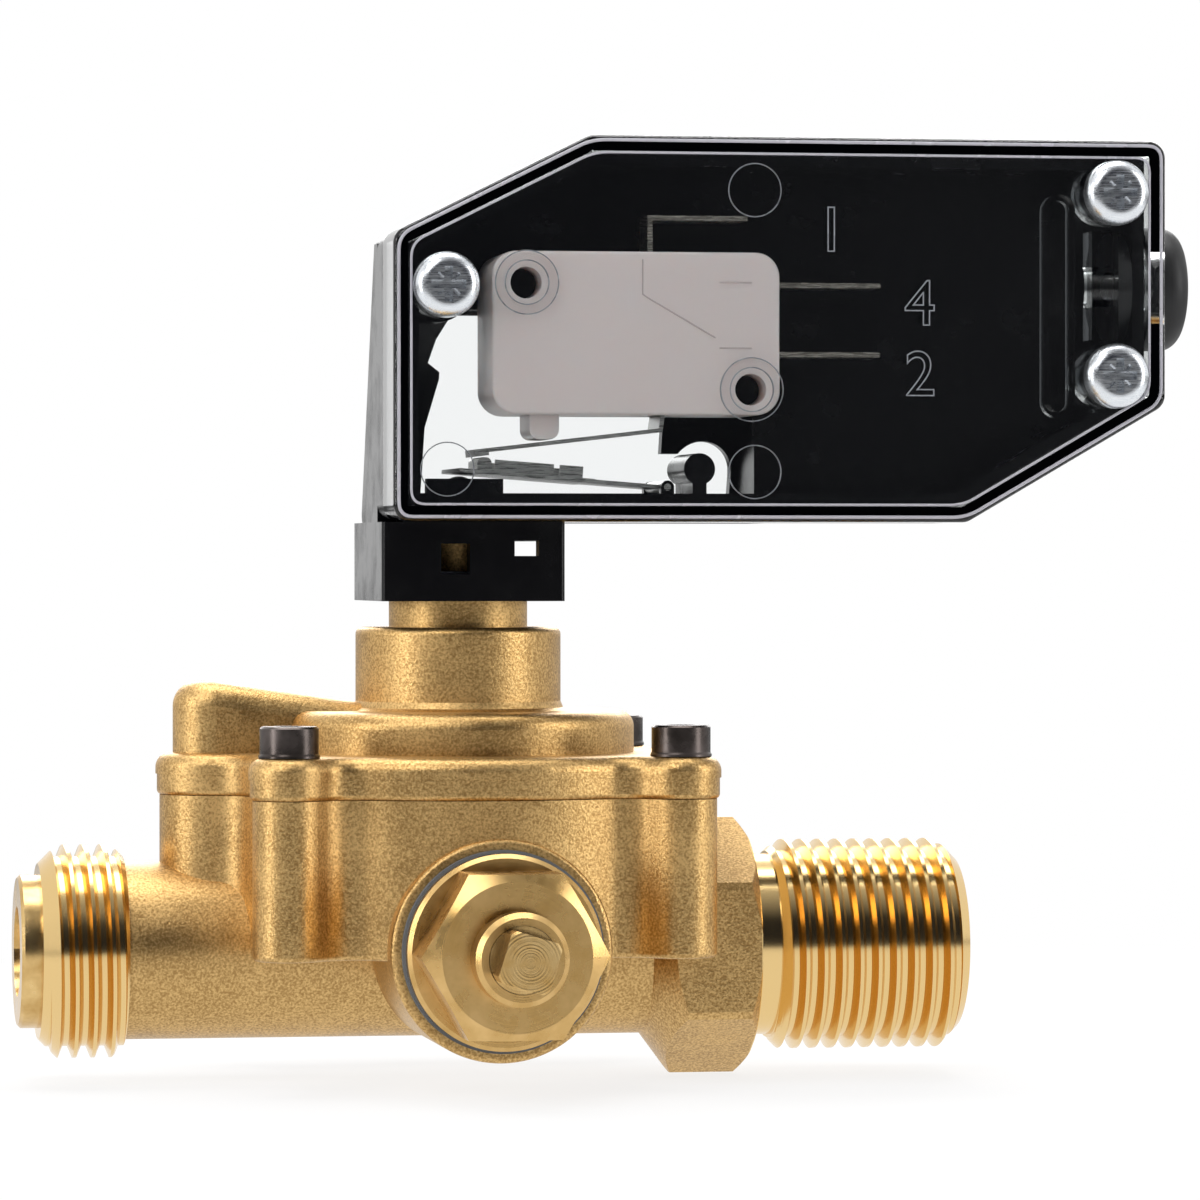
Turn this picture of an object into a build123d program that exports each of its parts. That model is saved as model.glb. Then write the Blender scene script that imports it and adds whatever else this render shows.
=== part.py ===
# Water flow switch: a brass venturi body with a diaphragm chamber, a throttle spindle at the front
# and a micro switch in a black case with a clear cover on top of the neck.
# Millimetres, +Z up. The finished frame has its origin at the centre of the inlet port's end face,
# with the pipe along X and the neck along Z. While the pieces are made, the neck axis is x = 0.
# Water enters at the right (+X), lifts the diaphragm and leaves through the venturi at the left.
import os
from math import atan2, degrees, radians, sqrt, tan

from build123d import *

# Pipe ports and threads
INLET_REACH = 50.0
OUTLET_REACH = 41.6
THREAD_CREST_R = 10.45
THREAD_ROOT_R = 9.3
THREAD_PITCH = 1.814
THREAD_CREST_LAND = 0.28
THREAD_ROOT_SINK = 0.1
THREAD_ROOT_SHARE = 0.77
THREAD_CREST_SPARE = 0.1
THREAD_NOSE_CHAMFER = 1.85
THREAD_RELIEF = 2.2
OUTLET_THREAD_LENGTH = 8.3
OUTLET_THREAD_START = 200
INLET_THREAD_LENGTH = 19.0
INLET_THREAD_START = 0
UNDERCUT_R = 9.0
UNDERCUT_LENGTH = 2.4
PIPE_R = 8.7
OUTLET_BORE_R = 6.0
INLET_BORE_R = 6.5
INLET_BORE_DEPTH = 43.0
EDGE_BREAK = 0.4
EDGE_TOLERANCE = 0.0001

# Inlet hexagon
HEX_ACROSS_FLATS = 22.4
HEX_TURNED_R = 12.7
HEX_WIDTH = 7.4
HEX_TAPER = 3.0
HEX_CHAMFER = 1.0
HEX_FACE_R = 11.3

# Diaphragm chamber
SEAM_Z = 15.3
CHAMBER_WALL = 2.2
LUG_SPACING = 38.0
LUG_R = 3.5
LOBE_R = 5.2
PLAN_FILLET = 3.2
CHAMBER_CAVITY_R = 16.5
CHAMBER_FLOOR_Z = 3.4
CHAMBER_EDGE_ROUND = 0.5
PIPE_CROWN_ALLOWANCE = 0.5
DIAPHRAGM_R = 20.9
DIAPHRAGM_THICK = 1.0
DIAPHRAGM_GAP = 0.1
FEED_X = 9.0
FEED_R = 2.6
CHANNEL_R = 1.2
CHANNEL_WEB = 0.9
CHANNEL_SEAL_BORE_R = 2.6
CHANNEL_SEAL_DEPTH = 1.0
CHANNEL_SEAL_SECTION_R = 0.45
FOLD_MARGIN = 0.7
FOLD_DEPTH = 1.4
SCREW_R = 1.45
SCREW_CLEARANCE = 0.05
SCREW_DEPTH = 9.0
SCREW_HEAD_R = 2.85
SCREW_HEAD_FLARE = 0.12
SCREW_HEAD_HEIGHT = 3.0
SCREW_SOCKET_ACROSS = 2.5
SCREW_SOCKET_DEPTH = 1.6

# Cover over the diaphragm
FLANGE_OVERHANG = 0.4
FLANGE_THICK = 4.1
FLANGE_STEP = 0.14
FLANGE_TOP_ROUND = 1.4
FLANGE_FOOT_ROUND = 0.5
DISC_R = 17.4
DISC_HEIGHT = 4.1
DISC_ROUND = 1.6
COVER_CAVITY_R = 15.4
COVER_CAVITY_HEIGHT = 6.0
NECK_R = 10.15
NECK_HEIGHT = 8.2
NECK_TOP_ROUND = 0.7
NECK_FILLET = 0.9
SPRING_BORE_R = 7.2
NECK_ROOF = 1.6
COLLAR_SEAT_R = 6.85
COLLAR_SEAT_HEIGHT = 2.6
POST_R = 4.2
POST_HEIGHT = 6.7
HUMP_R = 3.9
HUMP_TOP_Z = 26.4
HUMP_END_Z = 24.3
HUMP_ROUND = 2.4
HUMP_CHANNEL_Z = 22.6
HUMP_CHANNEL_DROP_Z = 19.9

# Push rod, plates and seals
ROD_R = 1.5
ROD_TOP_Z = 46.6
ROD_DOME_R = 2.0
ROD_FIT = 0.08
ROD_COLLAR_R = 3.0
ROD_COLLAR_HEIGHT = 0.8
PLATE_R = 11.4
PLATE_THICK = 1.2
ROD_NUT_ACROSS = 5.5
ROD_NUT_HEIGHT = 2.0
ROD_NUT_FIT = 0.02
ROD_TAIL = 0.6
STOP_GAP = 0.3
STOP_R = 2.0
SEAL_BORE_R = 3.0
SEAL_FLOOR_Z = 35.3
SEAL_CLEARANCE = 0.05
BUSH_LENGTH = 4.0
BUSH_FLANGE_R = 3.9
BUSH_FLANGE_THICK = 0.5
SPRING_WIRE_R = 0.45
SPRING_MEAN_R = 5.7
SPRING_TURNS = 6.0
SPRING_END_GAP = 0.05
SPRING_RIM_GAP = 0.3
SPRING_RIM_HEIGHT = 1.2

# Venturi nozzle
NOZZLE_FLANGE_R = 7.5
NOZZLE_FLANGE_THICK = 2.0
NOZZLE_FIT = 0.05
NOZZLE_TAIL = 3.0
NOZZLE_MOUTH_R = 4.4
NOZZLE_RIM_BREAK = 0.3
NOZZLE_THROAT_R = 2.6
NOZZLE_ENTRY_R = 5.0
NOZZLE_TAP_R = 0.7
NOZZLE_TAP_GROOVE = 2.0
NOZZLE_GROOVE_DEPTH = 0.8
NOZZLE_SEAL_INSET = 10.2
NOZZLE_SEAL_SECTION_R = 0.6

# Front throttle and its gland nut
PLUG_X = 0.9
PLUG_Z = 1.0
PLUG_BOSS_R = 10.7
PLUG_BOSS_PROUD = 0.5
PLUG_BOSS_ROUND = 0.5
WASHER_R = 9.7
WASHER_THICK = 0.8
WASHER_FIT = 0.2
NUT_FLANGE_R = 9.4
NUT_FLANGE_THICK = 1.5
NUT_ACROSS_FLATS = 15.6
NUT_HEX_LENGTH = 7.4
NUT_FACE_R = 7.15
NUT_CHAMFER_ANGLE = 30.0
NUT_BOSS_R = 4.45
NUT_BOSS_LENGTH = 3.4
NUT_BOSS_CHAMFER = 0.5
NUT_TAIL_R = 7.0
NUT_TAIL_LENGTH = 9.8
NUT_TAIL_FIT = 0.05
NUT_TAIL_BORE_R = 5.1
SPINDLE_R = 3.2
SPINDLE_FIT = 0.05
SPINDLE_SQUARE = 5.0
SPINDLE_SQUARE_LENGTH = 4.4
SPINDLE_SQUARE_TILT = -17.0
SPINDLE_COLLAR_R = 4.9
SPINDLE_COLLAR_THICK = 1.6
SPINDLE_GROOVE_WIDTH = 1.6
SPINDLE_GROOVE_DEPTH = 0.9
SPINDLE_TANG = 3.4
SPINDLE_TANG_LENGTH = 6.6
SPINDLE_RING_WIDTH = 0.8
SPINDLE_RING_SINK = 0.8
SPINDLE_RING_INNER_R = 3.6
SPINDLE_RING_MOUTH = 2.6
THROTTLE_R = 4.9
THROTTLE_FIT = 0.08
THROTTLE_FLANGE_R = 6.7
THROTTLE_FLANGE_THICK = 1.0
THROTTLE_END_GAP = 0.1
THROTTLE_REAR_GAP = 0.6
THROTTLE_FRONT_SINK = 0.2
THROTTLE_STEM_R = 1.6
VANE_R = 4.5
VANE_THICK = 1.6

# Switch case: outline, black base and clear cover
CASE_LEFT = -8.25
CASE_RIGHT = 68.5
CASE_BOTTOM = 42.0
CASE_TOP = 79.6
CASE_SHOULDER_Z = 70.0
CASE_SHOULDER_X = 11.0
CASE_CHIN_Z = 53.6
CASE_CHIN_X = 48.5
CASE_CORNER = 1.7
CASE_FRONT = -14.0
CASE_SPLIT = -6.0
CASE_BACK = 0.8
CASE_BACK_WALL = 2.4
COVER_WALL = 1.5
COVER_FACE = 1.4
COVER_FACE_ROUND = 0.6
BASE_LIP_GAP = 0.1
BASE_LIP_THICK = 1.2
BASE_LIP_FRONT = -11.0
BASE_BACK_ROUND = 0.8
HOOD_RIGHT = 31.0
HOOD_TOP_Z = 69.5
HOOD_DEPTH = 11.0
HOOD_WALL = 1.6
HOOD_ROOF = 6.5
WINDOW_LEFT_EDGE = [
    (-2.7, 44.8), (-2.6, 51.5), (-1.4, 56.3), (-1.4, 57.0), (-2.6, 57.9), (-1.9, 60.2), (-0.5, 62.6)]
WINDOW_RIGHT = 21.5
ARCH_X = 25.7
ARCH_R = 3.05
ARCH_STEP_Z = 49.0
ROD_PASSAGE_R = 2.4
GUIDE_POST_X = 22.2
GUIDE_POST_Z = 47.2
GUIDE_POST_R = 1.55
GUIDE_RIB_WIDTH = 1.4
PEDESTAL_LEFT = -4.7
PEDESTAL_RIGHT = 2.8
PEDESTAL_TOP_Z = 46.2
PEDESTAL_DEPTH = 1.5

# Case screws
CASE_SCREWS = [(-3.2, 64.9), (63.3, 74.4), (63.3, 56.4)]
CASE_SCREW_HEAD_R = 3.2
CASE_SCREW_HEAD_HEIGHT = 2.2
CASE_SCREW_R = 1.5
CASE_SCREW_LENGTH = 12.0
CASE_SCREW_POST_R = 3.4
CASE_SCREW_TIP = 1.2
CASE_SCREW_SPIGOT_R = 3.0
CASE_SCREW_SPIGOT_GAP = 0.1
CASE_SCREW_CROSS_LENGTH = 3.4
CASE_SCREW_CROSS_WIDTH = 0.8
CASE_SCREW_CROSS_DEPTH = 1.2
CASE_SCREW_TICK_LENGTH = 3.0
CASE_SCREW_TICK_WIDTH = 0.35
CASE_SCREW_TICK_DEPTH = 0.5

# Foot of the case, which sits on the neck
FOOT_HALF_X = 9.0
FOOT_HALF_Y = 11.0
FOOT_WALL = 2.0
FOOT_ROUND = 0.5
FOOT_FIT = 0.1
FOOT_GATE_X = -1.8
FOOT_GATE_WIDTH = 2.8
FOOT_GATE_LOW_Z = 36.9
FOOT_GATE_TOP_Z = 39.9
FOOT_NOTCH_LEFT = 4.0
FOOT_NOTCH_RIGHT = 6.4
FOOT_NOTCH_LOW_Z = 38.7
FOOT_NOTCH_TOP_Z = 40.2
CLIP_THICK = 0.8
CLIP_LIFT = 0.1
CLIP_GROOVE_R = 3.5
CLIP_OUTER_R = 6.2
CLIP_PRONG = 5.0
CLIP_TAB = 8.6
CLIP_CLEARANCE = 0.05

# Micro switch
MICRO_LEFT = 1.6
MICRO_RIGHT = 30.0
MICRO_BOTTOM = 52.45
MICRO_TOP = 68.35
MICRO_FRONT = -12.0
MICRO_THICK = 10.3
MICRO_LID = 1.6
MICRO_WALL = 1.8
MICRO_CORNER = 2.4
MICRO_HOLES = [(4.9, 65.25), (27.1, 54.95)]
MICRO_HOLE_R = 1.55
MICRO_HOLE_POST_R = 2.7
MICRO_PIN_R = 1.45
MICRO_PIN_LENGTH = 7.0
MICRO_EDGE_ROUND = 0.3
HOLD_RING_R = 3.1
HOLD_RING_BORE_R = 2.15
HOLD_RING_GAP = 0.1

# Micro switch plunger, lever and contacts
PLUNGER_X = 7.0
PLUNGER_WIDTH = 2.9
PLUNGER_DEPTH = 6.4
PLUNGER_TIP_Z = 50.05
PLUNGER_TIP_ROUND = 1.0
PLUNGER_TOP_Z = 58.8
PLUNGER_HEAD = 0.8
PLUNGER_HEAD_GAP = 0.3
PLUNGER_FIT = 0.08
LEVER_THICK = 0.4
LEVER_WIDTH = 6.4
LEVER_TIP_X = 0.1
LEVER_TIP_Z = 48.85
LEVER_BEND_X = 18.5
LEVER_BEND_Z = 51.0
LEVER_PIVOT_X = 18.8
LEVER_PIVOT_Z = 52.95
LEVER_PIVOT_R = 0.45
LEVER_POCKET_R = 0.95
LEVER_TIP_PAD = 1.4
LEVER_TIP_THICK = 0.7
LEVER_SIDE_GAP = 0.2
CONTACT_X = 24.5
BLADE_ANCHOR_X = 4.4
BLADE_Z = 60.4
BLADE_THICK = 0.3
BLADE_WIDTH = 4.0
BLADE_HINGE_GAP = 0.1
BLADE_BEAD_R = 0.22
CONTACT_R = 1.4
CONTACT_HALF = 0.55
CONTACT_GAP_CLOSED = 0.1
CONTACT_GAP_OPEN = 0.75
SNAP_SPRING_LEFT = 10.0
SNAP_SPRING_RIGHT = 20.0
SNAP_SPRING_RISE = 0.8
SNAP_SPRING_WIDTH = 1.4
SNAP_SPRING_THICK = 0.2
SNAP_SPRING_GAP = 0.02
TERMINAL_THICK = 0.5
TERMINAL_WIDTH = 4.8
TERMINAL_REACH = 40.7
TERMINAL_OPEN_DROP = 3.05
TERMINAL_CLOSED_RISE = 6.05
TERMINAL_COMMON_X = 17.6
TERMINAL_COMMON_TOP_Z = 71.8
TERMINAL_COMMON_END_X = 27.4
TERMINAL_TIP_CHAMFER = 0.15
TERMINAL_INNER_X = 22.9
COMMON_RAIL_Z = 61.95
TERMINAL_SLOT_FIT = 0.05

# Actuating lever between the rod and the micro switch
ARM_PIVOT_X = 19.3
ARM_PIVOT_Z = 45.45
ARM_PIN_R = 0.35
ARM_PIN_FIT = 0.06
ARM_EYE_R = 0.6
ARM_THICK = 0.4
ARM_FRONT = -10.2
ARM_REAR = 2.8
ARM_LEFT = -1.4
ARM_GAP = 0.15
ARM_CHANNEL_LEFT = 2.0
ARM_CHANNEL_RIGHT = 10.7
ARM_CHANNEL_HEIGHT = 1.3
ARM_CHANNEL_NOTCH_X = 7.8
ARM_CHANNEL_NOTCH = 0.6
ARM_TAB_X = 1.1
ARM_TAB_WIDTH = 1.4
ARM_WIDE_RIGHT = 12.0
ARM_EYE_FRONT = -8.0
ARM_EYE_REAR = 0.0
ARM_EAR_THICK = 1.2
ARM_EAR_GAP = 0.3
ARM_EAR_HALF = 0.65

# Cable grommet
GROMMET_Z = 65.3
GROMMET_FLANGE_R = 6.15
GROMMET_DOME = 3.1
GROMMET_DOME_ROUND = 2.0
GROMMET_NECK_R = 4.4
GROMMET_FIT = 0.1
GROMMET_INNER_R = 5.5
GROMMET_INNER_THICK = 1.5
CABLE_BORE_R = 2.5

# Ribs inside the clear cover
RIB_SLOT_X = 57.9
RIB_SLOT_Z = 63.3
RIB_SLOT_WIDTH = 3.2
RIB_SLOT_HEIGHT = 22.0
RIB_WALL = 0.6
RIB_LENGTH = 1.6
SADDLE_LEFT = 61.2
SADDLE_RIGHT = 63.9
SADDLE_LOW_Z = 60.0
SADDLE_TOP_Z = 70.7
SADDLE_LENGTH = 3.6
SADDLE_SAG_R = 3.6
MARKS = [(-2.9, 47.1), (27.4, 74.4), (27.4, 46.9)]
MARK_R = 2.6
MARK_HEIGHT = 0.5

# Places worked out from the sizes above
SEAT_Z = SEAM_Z - DIAPHRAGM_THICK
FLANGE_TOP_Z = SEAM_Z + FLANGE_THICK
DISC_TOP_Z = FLANGE_TOP_Z + DISC_HEIGHT
NECK_TOP_Z = DISC_TOP_Z + NECK_HEIGHT
COLLAR_Z = NECK_TOP_Z + COLLAR_SEAT_HEIGHT
POST_TOP_Z = COLLAR_Z + POST_HEIGHT
SPRING_ROOF_Z = NECK_TOP_Z - NECK_ROOF
PLATE_TOP_Z = SEAM_Z + PLATE_THICK
LOWER_PLATE_Z = SEAT_Z - PLATE_THICK
NUT_BOTTOM_Z = LOWER_PLATE_Z - ROD_NUT_HEIGHT
ROD_BOTTOM_Z = NUT_BOTTOM_Z - ROD_TAIL
CHAMBER_R = DIAPHRAGM_R + CHAMBER_WALL
LOBE_X = -DIAPHRAGM_R - CHANNEL_WEB - CHANNEL_SEAL_BORE_R
LUG_OFFSET = LUG_SPACING / 2
LUGS = [(sx * LUG_OFFSET, sy * LUG_OFFSET) for sx in (-1, 1) for sy in (-1, 1)]
MICRO_BACK = MICRO_FRONT + MICRO_THICK
MICRO_MID_Y = (MICRO_FRONT + MICRO_BACK) / 2
CASE_FLOOR_Z = CASE_BOTTOM + COVER_WALL + BASE_LIP_GAP + BASE_LIP_THICK
FLOOR_INNER_Y = CASE_BACK - CASE_BACK_WALL
PLUG_BOSS_Y = -CHAMBER_R - PLUG_BOSS_PROUD
NUT_SEAT_Y = PLUG_BOSS_Y - WASHER_THICK
NUT_HEX_Y = NUT_SEAT_Y - NUT_FLANGE_THICK
NUT_FACE_Y = NUT_HEX_Y - NUT_HEX_LENGTH
NUT_FRONT_Y = NUT_FACE_Y - NUT_BOSS_LENGTH
NUT_TAIL_Y = NUT_SEAT_Y + NUT_TAIL_LENGTH
COLLAR_FRONT_Y = NUT_SEAT_Y
COLLAR_REAR_Y = COLLAR_FRONT_Y + SPINDLE_FIT + SPINDLE_COLLAR_THICK
TANG_END_Y = COLLAR_REAR_Y + SPINDLE_TANG_LENGTH
THROTTLE_POCKET_Y = NUT_TAIL_Y + THROTTLE_FLANGE_THICK + 2 * THROTTLE_END_GAP
THROTTLE_FRONT_Y = -OUTLET_BORE_R - THROTTLE_FRONT_SINK
INLET_HEX_RIGHT = INLET_REACH - INLET_THREAD_LENGTH - UNDERCUT_LENGTH
INLET_HEX_LEFT = INLET_HEX_RIGHT - HEX_WIDTH
OUTLET_SHOULDER = -OUTLET_REACH + OUTLET_THREAD_LENGTH
HOOD_ROOM_TOP_Z = HOOD_TOP_Z - HOOD_ROOF
TERMINAL_OPEN_Z = MICRO_TOP - TERMINAL_OPEN_DROP
TERMINAL_CLOSED_Z = MICRO_BOTTOM + TERMINAL_CLOSED_RISE


def block(x0, x1, y0, y1, z0, z1):
    """Box between two corners."""
    return Pos((x0 + x1) / 2, (y0 + y1) / 2, (z0 + z1) / 2) * Box(x1 - x0, y1 - y0, z1 - z0)


def bar_x(radius, x0, x1, y=0.0, z=0.0):
    """Round bar along X."""
    return Pos((x0 + x1) / 2, y, z) * Rot(0, 90, 0) * Cylinder(radius, x1 - x0)


def bar_y(radius, y0, y1, x=0.0, z=0.0):
    """Round bar along Y."""
    return Pos(x, (y0 + y1) / 2, z) * Rot(90, 0, 0) * Cylinder(radius, y1 - y0)


def bar_z(radius, z0, z1, x=0.0, y=0.0):
    """Round bar along Z."""
    return Pos(x, y, (z0 + z1) / 2) * Cylinder(radius, z1 - z0)


def turned_x(points, y=0.0, z=0.0):
    """Solid of revolution about an axis along X, from (x, radius) points."""
    face = make_face(Polyline([(x, r) for x, r in points], close=True))
    return Pos(0, y, z) * revolve(face, Axis.X)


def turned_y(points, x=0.0, z=0.0):
    """Solid of revolution about an axis along Y, from (y, radius) points."""
    face = make_face(Polyline([(r, y) for y, r in points], close=True))
    return Pos(x, 0, z) * revolve(face, Axis.Y)


def turned_z(points):
    """Solid of revolution about the neck axis, from (radius, z) points."""
    face = make_face(Polyline([(r, 0, z) for r, z in points], close=True))
    return revolve(face, Axis.Z)


def slab_y(sketch, y0, y1):
    """Extrude a sketch drawn in (x, z) from y0 to y1."""
    return extrude(Plane.XZ.offset(-y0) * sketch, -(y1 - y0))


def slab_z(sketch, z0, z1):
    """Extrude a sketch drawn in (x, y) from z0 to z1."""
    return extrude(Plane.XY.offset(z0) * sketch, z1 - z0)


def o_ring_x(mean_radius, section, x):
    """O-ring round the pipe axis."""
    return Pos(x, 0, 0) * Rot(0, 90, 0) * Torus(mean_radius, section)


def threaded_port(core, root_x, nose_x, start_angle):
    """Pipe thread from the shoulder at root_x to the end face at nose_x, fused to the core and trimmed."""
    way = 1 if nose_x > root_x else -1
    half_root = THREAD_PITCH * THREAD_ROOT_SHARE / 2
    half_crest = THREAD_CREST_LAND / 2
    root = THREAD_ROOT_R - THREAD_ROOT_SINK
    height = THREAD_CREST_R + THREAD_CREST_SPARE - root
    path = Helix(THREAD_PITCH, abs(nose_x - root_x) + THREAD_PITCH, root)
    corners = [(0, -half_root), (height, -half_crest), (height, half_crest), (0, half_root)]
    section = make_face(Polyline(corners, close=True))
    profile = Plane(origin=path @ 0, x_dir=(1, 0, 0), z_dir=path % 0) * section
    ridge = Rot(start_angle, 0, 0) * Rot(0, 90, 0) * sweep(profile, path=path, is_frenet=True)
    port = core + Pos(min(root_x, nose_x) - THREAD_PITCH / 2, 0, 0) * ridge
    depth = THREAD_CREST_R - THREAD_ROOT_R
    below = THREAD_ROOT_R - 2 * THREAD_ROOT_SINK
    far = 2 * (INLET_REACH + OUTLET_REACH)
    start = way * root_x
    nose = way * nose_x
    relief = start - THREAD_RELIEF
    outline = [
        (-far, 0), (-far, far), (relief, far), (relief, below), (start, below), (start, THREAD_ROOT_R),
        (start + depth, THREAD_CREST_R), (nose - THREAD_NOSE_CHAMFER, THREAD_CREST_R),
        (nose, THREAD_CREST_R - THREAD_NOSE_CHAMFER), (nose, 0)]
    return port & turned_x([(way * along, radius) for along, radius in outline])


def chamber_plan(grow):
    """Plan of the diaphragm chamber: round wall, four screw lugs and the lobe of the pressure channel."""
    lug = LUG_R + grow
    reach = 2 * LUG_OFFSET * sqrt(2)
    lobe = LOBE_R + grow
    plan = Circle(CHAMBER_R + grow)
    for angle in (45, -45):
        plan += Rot(0, 0, angle) * Rectangle(reach, 2 * lug)
    for x, y in LUGS:
        plan += Pos(x, y) * Circle(lug)
    plan += Pos(LOBE_X / 2, 0) * Rectangle(-LOBE_X, 2 * lobe)
    plan += Pos(LOBE_X, 0) * Circle(lobe)
    return offset(offset(plan, PLAN_FILLET, kind=Kind.ARC), -PLAN_FILLET, kind=Kind.ARC)


def edges_at_z(solid, z):
    """Edges that lie in the level plane at z."""
    boxes = [(edge, edge.bounding_box()) for edge in solid.edges()]
    return [edge for edge, box in boxes if max(abs(box.min.Z - z), abs(box.max.Z - z)) < EDGE_TOLERANCE]


def edges_at_y(solid, y):
    """Edges that lie in the upright plane at y."""
    boxes = [(edge, edge.bounding_box()) for edge in solid.edges()]
    return [edge for edge, box in boxes if max(abs(box.min.Y - y), abs(box.max.Y - y)) < EDGE_TOLERANCE]


def make_pipe_and_ports():
    """Outer form of the pipe with its two threaded ports and the inlet hexagon."""
    inlet_thread_x = INLET_HEX_RIGHT + UNDERCUT_LENGTH
    pipe = turned_x([
        (-OUTLET_REACH, 0), (-OUTLET_REACH, THREAD_ROOT_R), (OUTLET_SHOULDER, THREAD_ROOT_R),
        (OUTLET_SHOULDER, PIPE_R), (INLET_HEX_LEFT - HEX_TAPER, PIPE_R), (INLET_HEX_LEFT, HEX_TURNED_R),
        (INLET_HEX_RIGHT - HEX_CHAMFER, HEX_TURNED_R), (INLET_HEX_RIGHT, HEX_FACE_R),
        (INLET_HEX_RIGHT, UNDERCUT_R), (inlet_thread_x, UNDERCUT_R), (inlet_thread_x, THREAD_ROOT_R),
        (INLET_REACH, THREAD_ROOT_R), (INLET_REACH, 0)])
    hexagon = Plane.YZ.offset(INLET_HEX_LEFT - HEX_TAPER) * RegularPolygon(
        HEX_ACROSS_FLATS / 2, 6, major_radius=False, rotation=30)
    around = bar_x(2 * HEX_TURNED_R, INLET_HEX_LEFT - HEX_TAPER, INLET_HEX_RIGHT)
    pipe -= around - extrude(hexagon, HEX_TAPER + HEX_WIDTH)
    pipe = threaded_port(pipe, OUTLET_SHOULDER, -OUTLET_REACH, OUTLET_THREAD_START)
    return threaded_port(pipe, inlet_thread_x, INLET_REACH, INLET_THREAD_START)


def make_valve_body():
    """Cast body: pipe, lower half of the diaphragm chamber and the boss of the throttle."""
    cup = slab_z(chamber_plan(0), 0, SEAM_Z)
    cup = fillet(edges_at_z(cup, 0), CHAMBER_EDGE_ROUND)
    boss = bar_y(PLUG_BOSS_R, PLUG_BOSS_Y, 0, PLUG_X, PLUG_Z)
    boss = fillet(edges_at_y(boss, PLUG_BOSS_Y), PLUG_BOSS_ROUND)
    body = make_pipe_and_ports() + cup + boss

    crown = bar_x(PIPE_R + PIPE_CROWN_ALLOWANCE, -CHAMBER_R, CHAMBER_R)
    boss_core = bar_y(NUT_TAIL_R + PIPE_CROWN_ALLOWANCE * 2, PLUG_BOSS_Y, 0, PLUG_X, PLUG_Z)
    cavity = bar_z(CHAMBER_CAVITY_R, CHAMBER_FLOOR_Z, SEAM_Z) - crown - boss_core
    body -= cavity
    body += bar_z(STOP_R, PIPE_R, ROD_BOTTOM_Z - STOP_GAP)
    body -= bar_z(DIAPHRAGM_R + DIAPHRAGM_GAP, SEAT_Z, SEAM_Z)
    body -= bar_x(OUTLET_BORE_R, -OUTLET_REACH, INLET_REACH)
    body -= bar_x(INLET_BORE_R, INLET_REACH - INLET_BORE_DEPTH, INLET_REACH)
    body -= bar_z(FEED_R, 0, SEAT_Z, FEED_X)
    body -= bar_z(CHANNEL_R, 0, SEAM_Z, LOBE_X)
    body -= bar_z(CHANNEL_SEAL_BORE_R, SEAM_Z - CHANNEL_SEAL_DEPTH, SEAM_Z, LOBE_X)
    body -= bar_y(THROTTLE_R + THROTTLE_FIT, PLUG_BOSS_Y, 0, PLUG_X, PLUG_Z)
    body -= bar_y(NUT_TAIL_R, PLUG_BOSS_Y, THROTTLE_POCKET_Y, PLUG_X, PLUG_Z)
    for x, y in LUGS:
        body -= bar_z(SCREW_R + SCREW_CLEARANCE, SEAM_Z - SCREW_DEPTH, SEAM_Z, x, y)
    return body


def make_valve_cover():
    """Cast cover: flange, raised disc, pressure channel hump, neck and the post that carries the case."""
    upper = slab_z(chamber_plan(FLANGE_OVERHANG), SEAM_Z + FLANGE_THICK / 2, FLANGE_TOP_Z)
    upper = fillet(edges_at_z(upper, FLANGE_TOP_Z), FLANGE_TOP_ROUND)
    lower = slab_z(chamber_plan(FLANGE_OVERHANG - FLANGE_STEP), SEAM_Z, SEAM_Z + FLANGE_THICK / 2)
    lower = fillet(edges_at_z(lower, SEAM_Z), FLANGE_FOOT_ROUND)
    disc = fillet(edges_at_z(bar_z(DISC_R, SEAM_Z, DISC_TOP_Z), DISC_TOP_Z), DISC_ROUND)
    neck = fillet(edges_at_z(bar_z(NECK_R, SEAM_Z, NECK_TOP_Z), NECK_TOP_Z), NECK_TOP_ROUND)
    hollow = NECK_FILLET * 0.3
    foot_of_neck = turned_z([
        (NECK_R, DISC_TOP_Z), (NECK_R + NECK_FILLET, DISC_TOP_Z), (NECK_R + hollow, DISC_TOP_Z + hollow),
        (NECK_R, DISC_TOP_Z + NECK_FILLET)])
    seat = bar_z(COLLAR_SEAT_R, NECK_TOP_Z, COLLAR_Z)
    post = bar_z(POST_R, COLLAR_Z, POST_TOP_Z)
    cover = lower + upper + disc + make_hump() + neck + foot_of_neck + seat + post

    cover -= bar_z(COVER_CAVITY_R, SEAM_Z, SEAM_Z + COVER_CAVITY_HEIGHT)
    cover -= bar_z(SPRING_BORE_R, SEAM_Z, SPRING_ROOF_Z)
    cover -= bar_z(ROD_R + ROD_FIT, SEAM_Z, POST_TOP_Z)
    cover -= bar_z(SEAL_BORE_R, SEAL_FLOOR_Z, POST_TOP_Z)
    groove = bar_z(POST_R, clip_z(), clip_z() + CLIP_THICK + 2 * CLIP_LIFT)
    cover -= groove - bar_z(CLIP_GROOVE_R, COLLAR_Z, POST_TOP_Z)
    cover -= make_channel()
    head_room = SCREW_HEAD_R + 2 * SCREW_HEAD_FLARE + SCREW_CLEARANCE
    for x, y in LUGS:
        cover -= bar_z(SCREW_R + 4 * SCREW_CLEARANCE, SEAM_Z, FLANGE_TOP_Z, x, y)
        cover -= bar_z(head_room, FLANGE_TOP_Z, DISC_TOP_Z, x, y)
    return cover


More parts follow.
